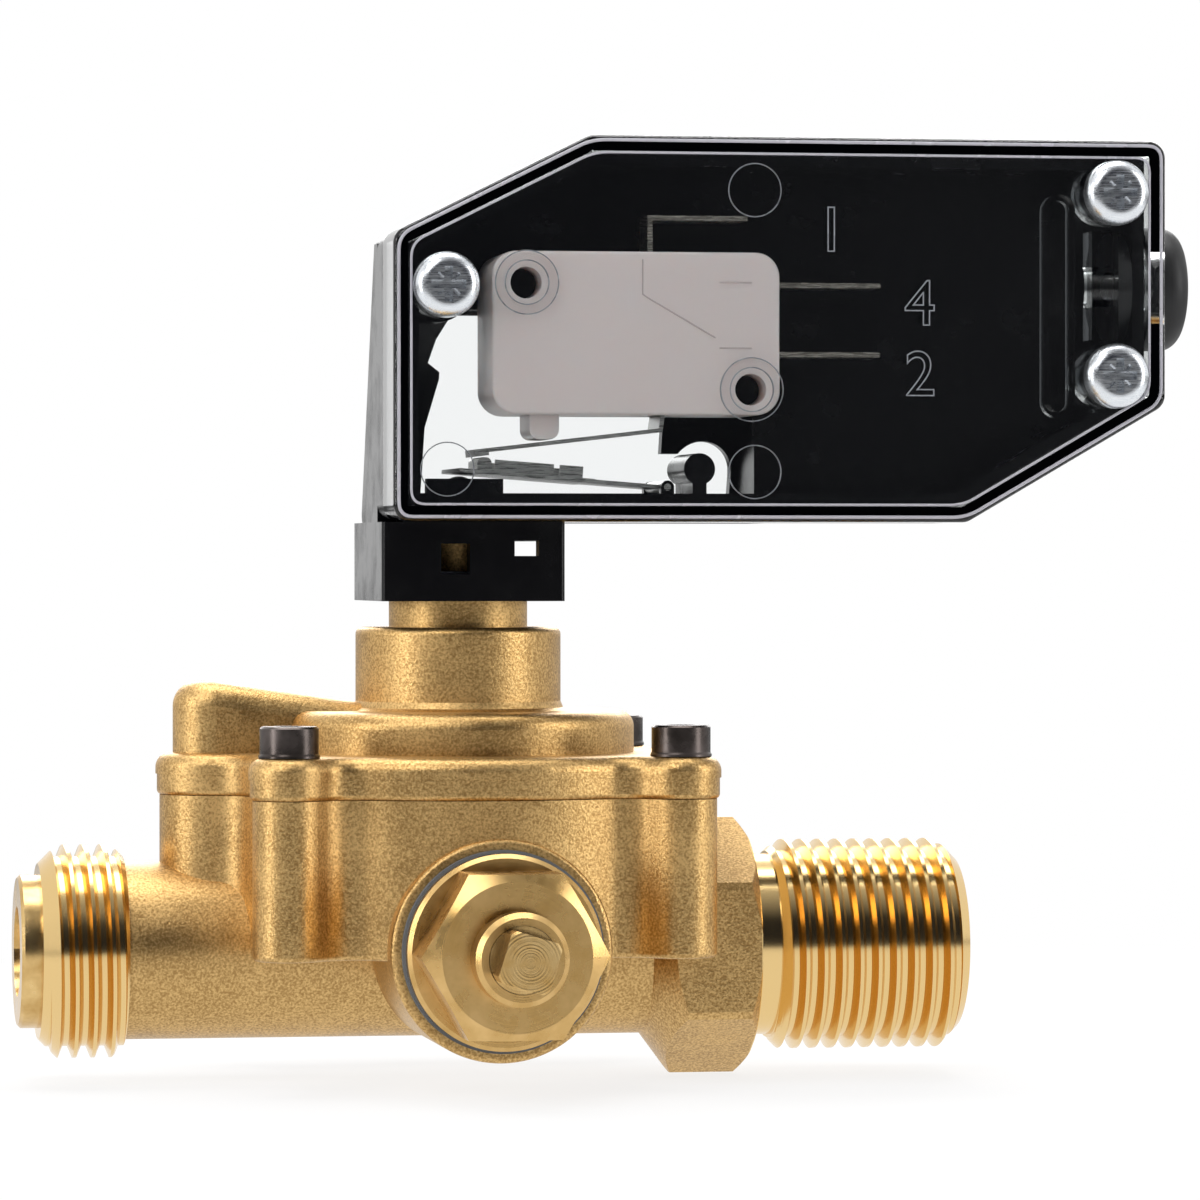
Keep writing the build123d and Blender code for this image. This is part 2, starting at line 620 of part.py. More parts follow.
def make_hump():
    """Sloping hump over the pressure channel, from the lobe to the neck."""
    base = FLANGE_TOP_Z - FLANGE_TOP_ROUND
    height = HUMP_TOP_Z - base
    end = bar_z(HUMP_R, base, HUMP_TOP_Z, LOBE_X)
    end = fillet(edges_at_z(end, HUMP_TOP_Z), HUMP_ROUND)
    section = Rectangle(2 * HUMP_R, height)
    section = fillet(section.vertices().group_by(Axis.Y)[-1], HUMP_ROUND)
    run = -NECK_R - LOBE_X + HUMP_ROUND
    drop = (HUMP_TOP_Z - HUMP_END_Z) * run / (-NECK_R - LOBE_X)
    section = Plane(origin=(LOBE_X, 0, base + height / 2), x_dir=(0, 1, 0), z_dir=(1, 0, 0)) * section
    return end + extrude(section, sqrt(run * run + drop * drop), dir=(run, 0, -drop))


def make_channel():
    """Drilled pressure channel from the venturi throat to the room above the diaphragm."""
    run = COVER_CAVITY_R - 1 + LOBE_X
    drop = HUMP_CHANNEL_Z - HUMP_CHANNEL_DROP_Z
    length = sqrt(run * run + drop * drop)
    slope = Pos((LOBE_X - COVER_CAVITY_R + 1) / 2, 0, (HUMP_CHANNEL_Z + HUMP_CHANNEL_DROP_Z) / 2)
    drill = Cylinder(CHANNEL_R, length)
    drill = Plane(origin=(0, 0, 0), z_dir=(-run, 0, -drop)) * drill
    return bar_z(CHANNEL_R, SEAM_Z, HUMP_CHANNEL_Z, LOBE_X) + slope * drill


def clip_z():
    """Height of the underside of the clip groove, just above the floor of the case's foot."""
    return COLLAR_Z + FOOT_WALL


def make_cover_screws():
    """Four socket head screws that hold the cover on the body."""
    low = FLANGE_TOP_Z
    top = FLANGE_TOP_Z + SCREW_HEAD_HEIGHT
    flare = SCREW_HEAD_R + SCREW_HEAD_FLARE
    small = EDGE_BREAK / 2
    head = turned_z([
        (0, low), (flare, low), (flare, low + small), (SCREW_HEAD_R, low + EDGE_BREAK),
        (SCREW_HEAD_R, top - small), (SCREW_HEAD_R - small, top), (0, top)])
    socket = RegularPolygon(SCREW_SOCKET_ACROSS / 2, 6, major_radius=False)
    head -= slab_z(socket, top - SCREW_SOCKET_DEPTH, top)
    screw = head + bar_z(SCREW_R, SEAM_Z - SCREW_DEPTH + 2 * EDGE_BREAK, FLANGE_TOP_Z)
    return [Pos(x, y, 0) * screw for x, y in LUGS]


def make_channel_seal():
    """O-ring round the pressure channel at the seam."""
    mean = CHANNEL_SEAL_BORE_R - CHANNEL_SEAL_SECTION_R - SEAL_CLEARANCE
    return Pos(LOBE_X, 0, SEAM_Z - CHANNEL_SEAL_DEPTH / 2) * Torus(mean, CHANNEL_SEAL_SECTION_R)


def make_diaphragm():
    """Rubber diaphragm with a rolled fold, clamped at its rim and between the plates."""
    inner_top = PLATE_R + FOLD_MARGIN
    outer_top = COVER_CAVITY_R - FOLD_MARGIN
    middle = (inner_top + outer_top) / 2
    inner_low = inner_top - FOLD_MARGIN
    outer_low = outer_top + FOLD_MARGIN
    hole = ROD_R + ROD_FIT
    top = SEAM_Z
    low = SEAT_Z
    outline = [
        Line((hole, 0, top), (inner_top, 0, top)),
        ThreePointArc((inner_top, 0, top), (middle, 0, top - FOLD_DEPTH), (outer_top, 0, top)),
        Line((outer_top, 0, top), (DIAPHRAGM_R, 0, top)),
        Line((DIAPHRAGM_R, 0, top), (DIAPHRAGM_R, 0, low)),
        Line((DIAPHRAGM_R, 0, low), (outer_low, 0, low)),
        ThreePointArc((outer_low, 0, low), (middle, 0, low - FOLD_DEPTH), (inner_low, 0, low)),
        Line((inner_low, 0, low), (hole, 0, low)),
        Line((hole, 0, low), (hole, 0, top))]
    return revolve(make_face(outline), Axis.Z)


def make_upper_plate():
    """Support plate on top of the diaphragm, with a rim that centres the spring."""
    plate = bar_z(PLATE_R, SEAM_Z, PLATE_TOP_Z)
    plate = fillet(edges_at_z(plate, PLATE_TOP_Z), PLATE_THICK / 3)
    rim_r = SPRING_MEAN_R - SPRING_WIRE_R - SPRING_RIM_GAP
    rim_top = PLATE_TOP_Z + SPRING_RIM_HEIGHT
    plate += bar_z(rim_r, PLATE_TOP_Z, rim_top) - bar_z(rim_r - PLATE_THICK, PLATE_TOP_Z, rim_top)
    return plate - bar_z(ROD_R + ROD_FIT, SEAT_Z, PLATE_TOP_Z)


def make_lower_plate():
    """Support plate under the diaphragm."""
    plate = bar_z(PLATE_R, LOWER_PLATE_Z, SEAT_Z)
    plate = fillet(edges_at_z(plate, LOWER_PLATE_Z), PLATE_THICK / 3)
    return plate - bar_z(ROD_R + ROD_FIT, LOWER_PLATE_Z, SEAT_Z)


def make_push_rod():
    """Steel rod that carries the plates and lifts the actuating lever."""
    rod = bar_z(ROD_R, ROD_BOTTOM_Z, ROD_TOP_Z)
    dome_z = ROD_TOP_Z - ROD_DOME_R
    dome = Pos(0, 0, dome_z) * Sphere(ROD_DOME_R) + bar_z(ROD_DOME_R, ROD_BOTTOM_Z, dome_z)
    return (rod & dome) + bar_z(ROD_COLLAR_R, PLATE_TOP_Z, PLATE_TOP_Z + ROD_COLLAR_HEIGHT)


def make_rod_nut():
    """Hexagon nut that clamps the plates to the rod."""
    nut = slab_z(RegularPolygon(ROD_NUT_ACROSS / 2, 6, major_radius=False), NUT_BOTTOM_Z, LOWER_PLATE_Z)
    return nut - bar_z(ROD_R + ROD_NUT_FIT, NUT_BOTTOM_Z, LOWER_PLATE_Z)


def make_return_spring():
    """Compression spring that pushes the diaphragm down."""
    low = PLATE_TOP_Z + SPRING_WIRE_R + SPRING_END_GAP
    high = SPRING_ROOF_Z - SPRING_WIRE_R - SPRING_END_GAP
    path = Helix((high - low) / SPRING_TURNS, high - low, SPRING_MEAN_R)
    section = Plane(origin=path @ 0, z_dir=path % 0) * Circle(SPRING_WIRE_R)
    return Pos(0, 0, low) * sweep(section, path=path, is_frenet=True)


def make_stem_seal():
    """O-ring round the push rod."""
    inner = ROD_R + SEAL_CLEARANCE
    outer = SEAL_BORE_R - SEAL_CLEARANCE
    section = (outer - inner) / 2
    return Pos(0, 0, SEAL_FLOOR_Z + section + SEAL_CLEARANCE) * Torus(inner + section, section)


def make_gland_bush():
    """Brass bush in the top of the post that guides the rod and keeps the O-ring in."""
    low = POST_TOP_Z - BUSH_LENGTH
    top = POST_TOP_Z + BUSH_FLANGE_THICK
    bush = bar_z(SEAL_BORE_R, low, POST_TOP_Z) + bar_z(BUSH_FLANGE_R, POST_TOP_Z, top)
    return bush - bar_z(ROD_R + ROD_FIT, low, top)


def make_venturi_nozzle():
    """Turned venturi insert in the outlet port, with a throat tapping and an O-ring groove."""
    left = -OUTLET_REACH - NOZZLE_FLANGE_THICK
    outer = OUTLET_BORE_R - NOZZLE_FIT
    right = LOBE_X + NOZZLE_TAIL
    nozzle = turned_x([
        (left, 0), (left, NOZZLE_FLANGE_R - NOZZLE_RIM_BREAK), (left + NOZZLE_RIM_BREAK, NOZZLE_FLANGE_R),
        (-OUTLET_REACH, NOZZLE_FLANGE_R), (-OUTLET_REACH, outer), (right, outer), (right, 0)])
    throat_left = LOBE_X - NOZZLE_TAP_GROOVE / 2
    throat_right = LOBE_X + NOZZLE_TAP_GROOVE / 2
    nozzle -= turned_x([
        (left, 0), (left, NOZZLE_MOUTH_R), (throat_left, NOZZLE_THROAT_R), (throat_right, NOZZLE_THROAT_R),
        (right, NOZZLE_ENTRY_R), (right, 0)])
    groove = outer - NOZZLE_GROOVE_DEPTH
    seal_x = NOZZLE_SEAL_INSET - OUTLET_REACH
    half = NOZZLE_SEAL_SECTION_R + NOZZLE_FIT
    for x0, x1 in ((throat_left, throat_right), (seal_x - half, seal_x + half)):
        nozzle -= bar_x(outer + 1, x0, x1) - bar_x(groove if x0 == throat_left else seal_groove_r(), x0, x1)
    return nozzle - bar_z(NOZZLE_TAP_R, -outer, outer, LOBE_X)


def seal_groove_r():
    """Radius at the bottom of the nozzle's O-ring groove."""
    return OUTLET_BORE_R - NOZZLE_FIT - 2 * NOZZLE_SEAL_SECTION_R


def make_nozzle_seal():
    """O-ring on the venturi nozzle."""
    mean = OUTLET_BORE_R - NOZZLE_FIT - NOZZLE_SEAL_SECTION_R
    return o_ring_x(mean, NOZZLE_SEAL_SECTION_R - NOZZLE_FIT / 2, NOZZLE_SEAL_INSET - OUTLET_REACH)


def make_gland_washer():
    """Sealing washer between the gland nut and the body."""
    return tube_y(WASHER_R, NUT_TAIL_R + WASHER_FIT, NUT_SEAT_Y, PLUG_BOSS_Y, PLUG_X, PLUG_Z)


def make_gland_nut():
    """Brass gland nut: round flange, hexagon, collar at the front and a tail in the body."""
    flange = turned_y([
        (NUT_SEAT_Y, 0), (NUT_SEAT_Y, NUT_FLANGE_R), (NUT_HEX_Y + EDGE_BREAK, NUT_FLANGE_R),
        (NUT_HEX_Y, NUT_FLANGE_R - EDGE_BREAK), (NUT_HEX_Y, 0)], PLUG_X, PLUG_Z)
    hexagon = slab_y(RegularPolygon(NUT_ACROSS_FLATS / 2, 6, major_radius=False), NUT_FACE_Y, NUT_HEX_Y)
    past_corner = NUT_ACROSS_FLATS / sqrt(3) + 1
    chamfer_end = NUT_FACE_Y + (past_corner - NUT_FACE_R) * tan(radians(NUT_CHAMFER_ANGLE))
    cone = turned_y([
        (NUT_FACE_Y, 0), (NUT_FACE_Y, NUT_FACE_R), (chamfer_end, past_corner), (NUT_HEX_Y, past_corner),
        (NUT_HEX_Y, 0)])
    hexagon = Pos(PLUG_X, 0, PLUG_Z) * (hexagon & cone)
    collar = turned_y([
        (NUT_FACE_Y, 0), (NUT_FACE_Y, NUT_BOSS_R), (NUT_FRONT_Y + NUT_BOSS_CHAMFER, NUT_BOSS_R),
        (NUT_FRONT_Y, NUT_BOSS_R - NUT_BOSS_CHAMFER), (NUT_FRONT_Y, 0)], PLUG_X, PLUG_Z)
    tail = bar_y(NUT_TAIL_R - NUT_TAIL_FIT, NUT_SEAT_Y, NUT_TAIL_Y, PLUG_X, PLUG_Z)
    nut = flange + hexagon + collar + tail
    nut -= bar_y(SPINDLE_R + SPINDLE_FIT, NUT_FRONT_Y, NUT_TAIL_Y, PLUG_X, PLUG_Z)
    nut -= bar_y(NUT_TAIL_BORE_R, COLLAR_FRONT_Y, NUT_TAIL_Y, PLUG_X, PLUG_Z)
    groove_end = ring_y() + SPINDLE_RING_WIDTH + 2 * SPINDLE_FIT
    return nut - bar_y(NUT_TAIL_BORE_R + SPINDLE_RING_SINK, ring_y(), groove_end, PLUG_X, PLUG_Z)


def ring_y():
    """Front side of the groove for the retaining ring behind the spindle's collar."""
    return COLLAR_FRONT_Y + SPINDLE_COLLAR_THICK + 2 * SPINDLE_FIT


def make_spindle():
    """Throttle spindle: square end, round shank with an O-ring groove, collar and square tang."""
    square_y = NUT_FRONT_Y - SPINDLE_SQUARE_LENGTH
    collar_y = COLLAR_FRONT_Y + SPINDLE_FIT
    spindle = turned_y([
        (square_y, 0), (square_y, SPINDLE_R - EDGE_BREAK / 2), (square_y + EDGE_BREAK / 2, SPINDLE_R),
        (collar_y, SPINDLE_R), (collar_y, SPINDLE_COLLAR_R), (COLLAR_REAR_Y, SPINDLE_COLLAR_R),
        (COLLAR_REAR_Y, 0)])
    tang = SPINDLE_TANG / 2
    spindle += block(-tang, tang, COLLAR_REAR_Y, TANG_END_Y, -tang, tang)
    half = SPINDLE_SQUARE / 2
    around = SPINDLE_COLLAR_R
    flats = block(-around, around, square_y, NUT_FRONT_Y, -around, around)
    flats -= block(-half, half, square_y, NUT_FRONT_Y, -half, half)
    spindle -= Rot(0, -SPINDLE_SQUARE_TILT, 0) * flats
    groove_y = spindle_seal_y() - SPINDLE_GROOVE_WIDTH / 2
    groove_end = groove_y + SPINDLE_GROOVE_WIDTH
    spindle -= tube_y(SPINDLE_R + 1, SPINDLE_R - SPINDLE_GROOVE_DEPTH, groove_y, groove_end, 0, 0)
    return Pos(PLUG_X, 0, PLUG_Z) * spindle


def spindle_seal_y():
    """Place of the O-ring along the spindle."""
    return (NUT_HEX_Y + NUT_FACE_Y) / 2


def make_spindle_seal():
    """O-ring in the spindle's groove."""
    outer = SPINDLE_R + SPINDLE_FIT - SPINDLE_FIT / 2
    inner = SPINDLE_R - SPINDLE_GROOVE_DEPTH
    section = (outer - inner) / 2
    ring = Rot(90, 0, 0) * Torus(inner + section, section - SPINDLE_FIT / 4)
    return Pos(PLUG_X, spindle_seal_y(), PLUG_Z) * ring


def make_retaining_ring():
    """Open spring ring in the nut's groove, behind the spindle's collar."""
    front = ring_y() + SPINDLE_FIT
    rear = front + SPINDLE_RING_WIDTH
    outer = NUT_TAIL_BORE_R + SPINDLE_RING_SINK - SPINDLE_FIT
    mouth = SPINDLE_RING_MOUTH / 2
    ring = tube_y(outer, SPINDLE_RING_INNER_R, front, rear, 0, 0)
    ring -= block(-mouth, mouth, front, rear, 0, 2 * NUT_TAIL_R)
    return Pos(PLUG_X, 0, PLUG_Z) * ring


def make_throttle_plug():
    """Quarter-turn throttle: plug with a flange, a socket for the spindle's tang and a vane in the bore."""
    rear = ring_y() + SPINDLE_RING_WIDTH + THROTTLE_REAR_GAP
    flange_y = NUT_TAIL_Y + THROTTLE_END_GAP
    plug = bar_y(THROTTLE_R, rear, THROTTLE_FRONT_Y)
    plug += bar_y(THROTTLE_FLANGE_R, flange_y, flange_y + THROTTLE_FLANGE_THICK)
    socket = SPINDLE_TANG / 2 + SPINDLE_FIT
    plug -= block(-socket, socket, rear, TANG_END_Y + THROTTLE_END_GAP, -socket, socket)
    plug += bar_y(THROTTLE_STEM_R, THROTTLE_FRONT_Y, -VANE_R / 2)
    plug += bar_z(VANE_R, -VANE_THICK / 2, VANE_THICK / 2)
    return Pos(PLUG_X, 0, PLUG_Z) * plug


def case_outline(inset):
    """Outline of the switch case in (x, z), moved inwards by inset, with rounded corners."""
    points = [
        (CASE_LEFT, CASE_BOTTOM), (CASE_CHIN_X, CASE_BOTTOM), (CASE_RIGHT, CASE_CHIN_Z),
        (CASE_RIGHT, CASE_TOP), (CASE_SHOULDER_X, CASE_TOP), (CASE_LEFT, CASE_SHOULDER_Z)]
    face = make_face(Polyline(points, close=True))
    face = fillet(face.vertices(), CASE_CORNER)
    return offset(face, -inset, kind=Kind.ARC) if inset else face


def make_foot():
    """Foot under the case: an open-sided collar that sits on the neck and takes the clip."""
    foot = block(-FOOT_HALF_X, FOOT_HALF_X, -FOOT_HALF_Y, FOOT_HALF_Y, COLLAR_Z, CASE_BOTTOM)
    foot = fillet(foot.edges().filter_by(Axis.Z), FOOT_ROUND)
    inner_x = FOOT_HALF_X - FOOT_WALL
    inner_y = FOOT_HALF_Y - FOOT_WALL
    foot -= block(-inner_x, inner_x, -inner_y, inner_y, COLLAR_Z + FOOT_WALL, CASE_BOTTOM)
    foot -= bar_z(POST_R + FOOT_FIT, COLLAR_Z, COLLAR_Z + FOOT_WALL)
    gate_left = FOOT_GATE_X - FOOT_GATE_WIDTH / 2
    gate_right = FOOT_GATE_X + FOOT_GATE_WIDTH / 2
    foot -= block(gate_left, gate_right, -FOOT_HALF_Y, -inner_y, FOOT_GATE_LOW_Z, FOOT_GATE_TOP_Z)
    notch_top = FOOT_NOTCH_TOP_Z
    foot -= block(FOOT_NOTCH_LEFT, FOOT_NOTCH_RIGHT, -FOOT_HALF_Y, -inner_y, FOOT_NOTCH_LOW_Z, notch_top)
    clip_way_x = (FOOT_HALF_X - FOOT_WALL + POST_R) / 2
    clip_way_y = -CLIP_OUTER_R - FOOT_FIT * 4
    return foot - block(clip_way_x, FOOT_HALF_X, clip_way_y, FOOT_HALF_Y, COLLAR_Z + FOOT_WALL, notch_top)


def hood_y(z):
    """Place of the hood's sloped back at height z."""
    return HOOD_DEPTH - (z - CASE_BOTTOM) * (HOOD_DEPTH - CASE_BACK) / (HOOD_TOP_Z - CASE_BOTTOM)


def make_hood():
    """Sloped hood at the back of the base, which makes room for the rod and the actuating lever."""
    profile = make_face(Polyline(
        (FLOOR_INNER_Y, CASE_BOTTOM), (HOOD_DEPTH, CASE_BOTTOM), (CASE_BACK, HOOD_TOP_Z),
        (FLOOR_INNER_Y, HOOD_TOP_Z), close=True))
    hood = extrude(Plane.YZ.offset(CASE_LEFT) * profile, HOOD_RIGHT - CASE_LEFT)
    return fillet(hood.edges().filter_by(Axis.X).sort_by(Axis.Y)[-1:], BASE_BACK_ROUND)


def make_hood_room():
    """Room inside the hood."""
    slope = (HOOD_DEPTH - CASE_BACK) / (HOOD_TOP_Z - CASE_BOTTOM)
    wall = HOOD_WALL * sqrt(1 + slope * slope)
    profile = make_face(Polyline(
        (CASE_FRONT, CASE_FLOOR_Z), (hood_y(CASE_FLOOR_Z) - wall, CASE_FLOOR_Z),
        (hood_y(HOOD_ROOM_TOP_Z) - wall, HOOD_ROOM_TOP_Z), (CASE_FRONT, HOOD_ROOM_TOP_Z), close=True))
    left = CASE_LEFT + COVER_WALL + BASE_LIP_GAP + BASE_LIP_THICK
    return extrude(Plane.YZ.offset(left) * profile, HOOD_RIGHT - HOOD_WALL - left)


def make_window():
    """Opening through the back of the base, with an arch behind the guide post."""
    low_z = WINDOW_LEFT_EDGE[0][1]
    top_z = WINDOW_LEFT_EDGE[-1][1]
    corners = WINDOW_LEFT_EDGE + [(WINDOW_RIGHT, top_z), (WINDOW_RIGHT, low_z)]
    window = slab_y(make_face(Polyline(corners, close=True)), FLOOR_INNER_Y, 2 * HOOD_DEPTH)
    window += block(WINDOW_RIGHT, ARCH_X, FLOOR_INNER_Y, 2 * HOOD_DEPTH, CASE_FLOOR_Z, ARCH_STEP_Z)
    window += block(ARCH_X, ARCH_X + ARCH_R, FLOOR_INNER_Y, 2 * HOOD_DEPTH, CASE_FLOOR_Z, GUIDE_POST_Z)
    return window + bar_y(ARCH_R, FLOOR_INNER_Y, 2 * HOOD_DEPTH, ARCH_X, GUIDE_POST_Z)


def make_switch_base():
    """Black base of the case with its foot, hood, inner lip, screw posts and micro switch pins."""
    plate = slab_y(case_outline(0), CASE_SPLIT, CASE_BACK)
    plate = fillet(edges_at_y(plate, CASE_BACK), BASE_BACK_ROUND)
    base = plate + make_hood() + slab_y(case_outline(COVER_WALL + BASE_LIP_GAP), BASE_LIP_FRONT, CASE_SPLIT)
    inner = COVER_WALL + BASE_LIP_GAP + BASE_LIP_THICK
    base -= slab_y(case_outline(inner), CASE_FRONT, FLOOR_INNER_Y)
    base -= make_hood_room()
    base += make_foot()
    base -= make_window()
    base += make_base_posts()
    base -= bar_z(ROD_PASSAGE_R, CASE_BOTTOM - FOOT_WALL, CASE_FLOOR_Z)
    hole_end = CASE_FRONT + CASE_SCREW_LENGTH + CASE_SCREW_TIP
    for x, z in CASE_SCREWS:
        base -= bar_y(CASE_SCREW_R + SCREW_CLEARANCE, CASE_FRONT, hole_end, x, z)
        base -= bar_y(CASE_SCREW_SPIGOT_R + CASE_SCREW_SPIGOT_GAP, CASE_FRONT, CASE_SPLIT - COVER_WALL, x, z)
    wall_x = CASE_RIGHT - inner
    flange_x = wall_x - GROMMET_INNER_THICK - 3 * GROMMET_FIT
    base -= bar_x(GROMMET_NECK_R + GROMMET_FIT, wall_x, CASE_RIGHT, CASE_SPLIT, GROMMET_Z)
    return base - bar_x(GROMMET_INNER_R + GROMMET_FIT, flange_x, wall_x, CASE_SPLIT, GROMMET_Z)


def make_base_posts():
    """Screw posts, micro switch pins, guide post, pedestal and the two ears of the lever pin."""
    floor = CASE_FLOOR_Z - BASE_LIP_THICK / 2
    front = BASE_LIP_FRONT
    posts = block(PEDESTAL_LEFT, PEDESTAL_RIGHT, front, front + PEDESTAL_DEPTH, floor, PEDESTAL_TOP_Z)
    for x, z in CASE_SCREWS:
        posts += bar_y(CASE_SCREW_POST_R, CASE_SPLIT - COVER_WALL, FLOOR_INNER_Y, x, z)
    for x, z in MICRO_HOLES:
        posts += bar_y(MICRO_PIN_R, MICRO_BACK - MICRO_PIN_LENGTH, hood_y(z) - HOOD_WALL / 2, x, z)
    rib_left = GUIDE_POST_X - GUIDE_RIB_WIDTH / 2
    rib_right = GUIDE_POST_X + GUIDE_RIB_WIDTH / 2
    posts += bar_y(GUIDE_POST_R, front, FLOOR_INNER_Y, GUIDE_POST_X, GUIDE_POST_Z)
    posts += block(rib_left, rib_right, front, FLOOR_INNER_Y, floor, GUIDE_POST_Z)
    ear_left = ARM_PIVOT_X - ARM_EAR_HALF
    ear_right = ARM_PIVOT_X + ARM_EAR_HALF
    for y0 in (ARM_EYE_FRONT - ARM_EAR_GAP - ARM_EAR_THICK, ARM_EYE_REAR + ARM_EAR_GAP):
        ear = block(ear_left, ear_right, y0, y0 + ARM_EAR_THICK, floor, ARM_PIVOT_Z)
        ear += bar_y(ARM_EAR_HALF, y0, y0 + ARM_EAR_THICK, ARM_PIVOT_X, ARM_PIVOT_Z)
        posts += ear - bar_y(ARM_PIN_R, y0, y0 + ARM_EAR_THICK, ARM_PIVOT_X, ARM_PIVOT_Z)
    return posts


def make_clear_cover():
    """Clear front cover with its screw spigots, hold-down rings, ribs and cable saddle."""
    cover = slab_y(case_outline(0), CASE_FRONT, CASE_SPLIT)
    cover = fillet(edges_at_y(cover, CASE_FRONT), COVER_FACE_ROUND)
    inside = CASE_FRONT + COVER_FACE
    cover -= slab_y(case_outline(COVER_WALL), inside, CASE_SPLIT)
    for x, z in CASE_SCREWS:
        cover += bar_y(CASE_SCREW_SPIGOT_R, inside, CASE_SPLIT - COVER_WALL - CASE_SCREW_SPIGOT_GAP, x, z)
    for x, z in MICRO_HOLES:
        cover += tube_y(HOLD_RING_R, HOLD_RING_BORE_R, inside, MICRO_FRONT - HOLD_RING_GAP, x, z)
    for x, z in MARKS:
        cover += bar_y(MARK_R, inside, inside + MARK_HEIGHT, x, z)
    slot = SlotOverall(RIB_SLOT_HEIGHT, RIB_SLOT_WIDTH, rotation=90)
    slot -= SlotOverall(RIB_SLOT_HEIGHT - 2 * RIB_WALL, RIB_SLOT_WIDTH - 2 * RIB_WALL, rotation=90)
    cover += slab_y(Pos(RIB_SLOT_X, RIB_SLOT_Z) * slot, inside, inside + RIB_LENGTH)
    saddle = block(SADDLE_LEFT, SADDLE_RIGHT, inside, inside + SADDLE_LENGTH, SADDLE_LOW_Z, SADDLE_TOP_Z)
    cover += saddle - bar_x(SADDLE_SAG_R, SADDLE_LEFT, SADDLE_RIGHT, CASE_SPLIT, GROMMET_Z)
    for x, z in CASE_SCREWS:
        cover -= bar_y(CASE_SCREW_R + 3 * SCREW_CLEARANCE, CASE_FRONT, CASE_SPLIT, x, z)
    way_in = CASE_RIGHT - 2 * COVER_WALL
    return cover - bar_x(GROMMET_NECK_R + GROMMET_FIT, way_in, CASE_RIGHT, CASE_SPLIT, GROMMET_Z)


def tube_y(outer, bore, y0, y1, x, z):
    """Tube along Y."""
    return bar_y(outer, y0, y1, x, z) - bar_y(bore, y0, y1, x, z)


def make_case_screws():
    """Three pan head screws with a cross recess that hold the clear cover."""
    top = CASE_FRONT - CASE_SCREW_HEAD_HEIGHT
    head = bar_y(CASE_SCREW_HEAD_R, top, CASE_FRONT)
    head = fillet(edges_at_y(head, top), CASE_SCREW_HEAD_HEIGHT * 0.6)
    half_length = CASE_SCREW_CROSS_LENGTH / 2
    half_width = CASE_SCREW_CROSS_WIDTH / 2
    bottom = top + CASE_SCREW_CROSS_DEPTH
    head -= block(-half_length, half_length, top, bottom, -half_width, half_width)
    head -= block(-half_width, half_width, top, bottom, -half_length, half_length)
    half_tick = CASE_SCREW_TICK_LENGTH / 2
    tick_width = CASE_SCREW_TICK_WIDTH / 2
    tick = block(-half_tick, half_tick, top, top + CASE_SCREW_TICK_DEPTH, -tick_width, tick_width)
    head -= Rot(0, 45, 0) * tick
    head -= Rot(0, -45, 0) * tick
    screw = head + bar_y(CASE_SCREW_R, CASE_FRONT, CASE_FRONT + CASE_SCREW_LENGTH)
    return [Pos(x, 0, z) * screw for x, z in CASE_SCREWS]


def make_housing_clip():
    """Steel fork that slides into the post's groove and holds the foot on the neck."""
    low = clip_z() + CLIP_LIFT
    clip = block(-CLIP_PRONG, CLIP_TAB, -CLIP_OUTER_R, CLIP_OUTER_R, low, low + CLIP_THICK)
    clip = fillet(clip.edges().filter_by(Axis.Z), FOOT_ROUND)
    slot = CLIP_GROOVE_R + CLIP_CLEARANCE
    clip -= bar_z(slot, low, low + CLIP_THICK)
    return clip - block(-2 * CLIP_PRONG, 0, -slot, slot, low, low + CLIP_THICK)


def micro_outline(inset):
    """Outline of the micro switch in (x, z), moved inwards by inset."""
    width = MICRO_RIGHT - MICRO_LEFT - 2 * inset
    height = MICRO_TOP - MICRO_BOTTOM - 2 * inset
    middle = Pos((MICRO_LEFT + MICRO_RIGHT) / 2, (MICRO_BOTTOM + MICRO_TOP) / 2)
    return middle * RectangleRounded(width, height, max(MICRO_CORNER - inset, MICRO_EDGE_ROUND))


def make_microswitch_case():
    """Moulded case of the micro switch, open at the back."""
    back = MICRO_BACK - MICRO_LID
    case = slab_y(micro_outline(0), MICRO_FRONT, back)
    case = fillet(edges_at_y(case, MICRO_FRONT), MICRO_EDGE_ROUND)
    room = slab_y(micro_outline(MICRO_WALL), MICRO_FRONT + MICRO_WALL, back)
    for x, z in MICRO_HOLES:
        room -= bar_y(MICRO_HOLE_POST_R, MICRO_FRONT, back, x, z)
    case -= room
    for x, z in MICRO_HOLES:
        case -= bar_y(MICRO_HOLE_R, MICRO_FRONT, back, x, z)
    half_x = PLUNGER_WIDTH / 2 + PLUNGER_FIT
    half_y = PLUNGER_DEPTH / 2 + PLUNGER_FIT
    case -= block(PLUNGER_X - half_x, PLUNGER_X + half_x, MICRO_MID_Y - half_y, MICRO_MID_Y + half_y,
                  MICRO_BOTTOM, MICRO_BOTTOM + MICRO_WALL)
    reach = LEVER_WIDTH / 2 + LEVER_SIDE_GAP
    case -= bar_y(LEVER_POCKET_R, MICRO_MID_Y - reach, MICRO_MID_Y + reach, LEVER_PIVOT_X, LEVER_PIVOT_Z)
    wide = TERMINAL_WIDTH + 2 * TERMINAL_SLOT_FIT
    thin = TERMINAL_THICK / 2 + TERMINAL_SLOT_FIT
    for z in (TERMINAL_OPEN_Z, TERMINAL_CLOSED_Z):
        case -= strip(MICRO_RIGHT - 2 * MICRO_WALL, MICRO_RIGHT, z - thin, z + thin, wide)
    x = TERMINAL_COMMON_X
    return case - strip(x - thin, x + thin, MICRO_TOP - 2 * MICRO_WALL, MICRO_TOP, wide)


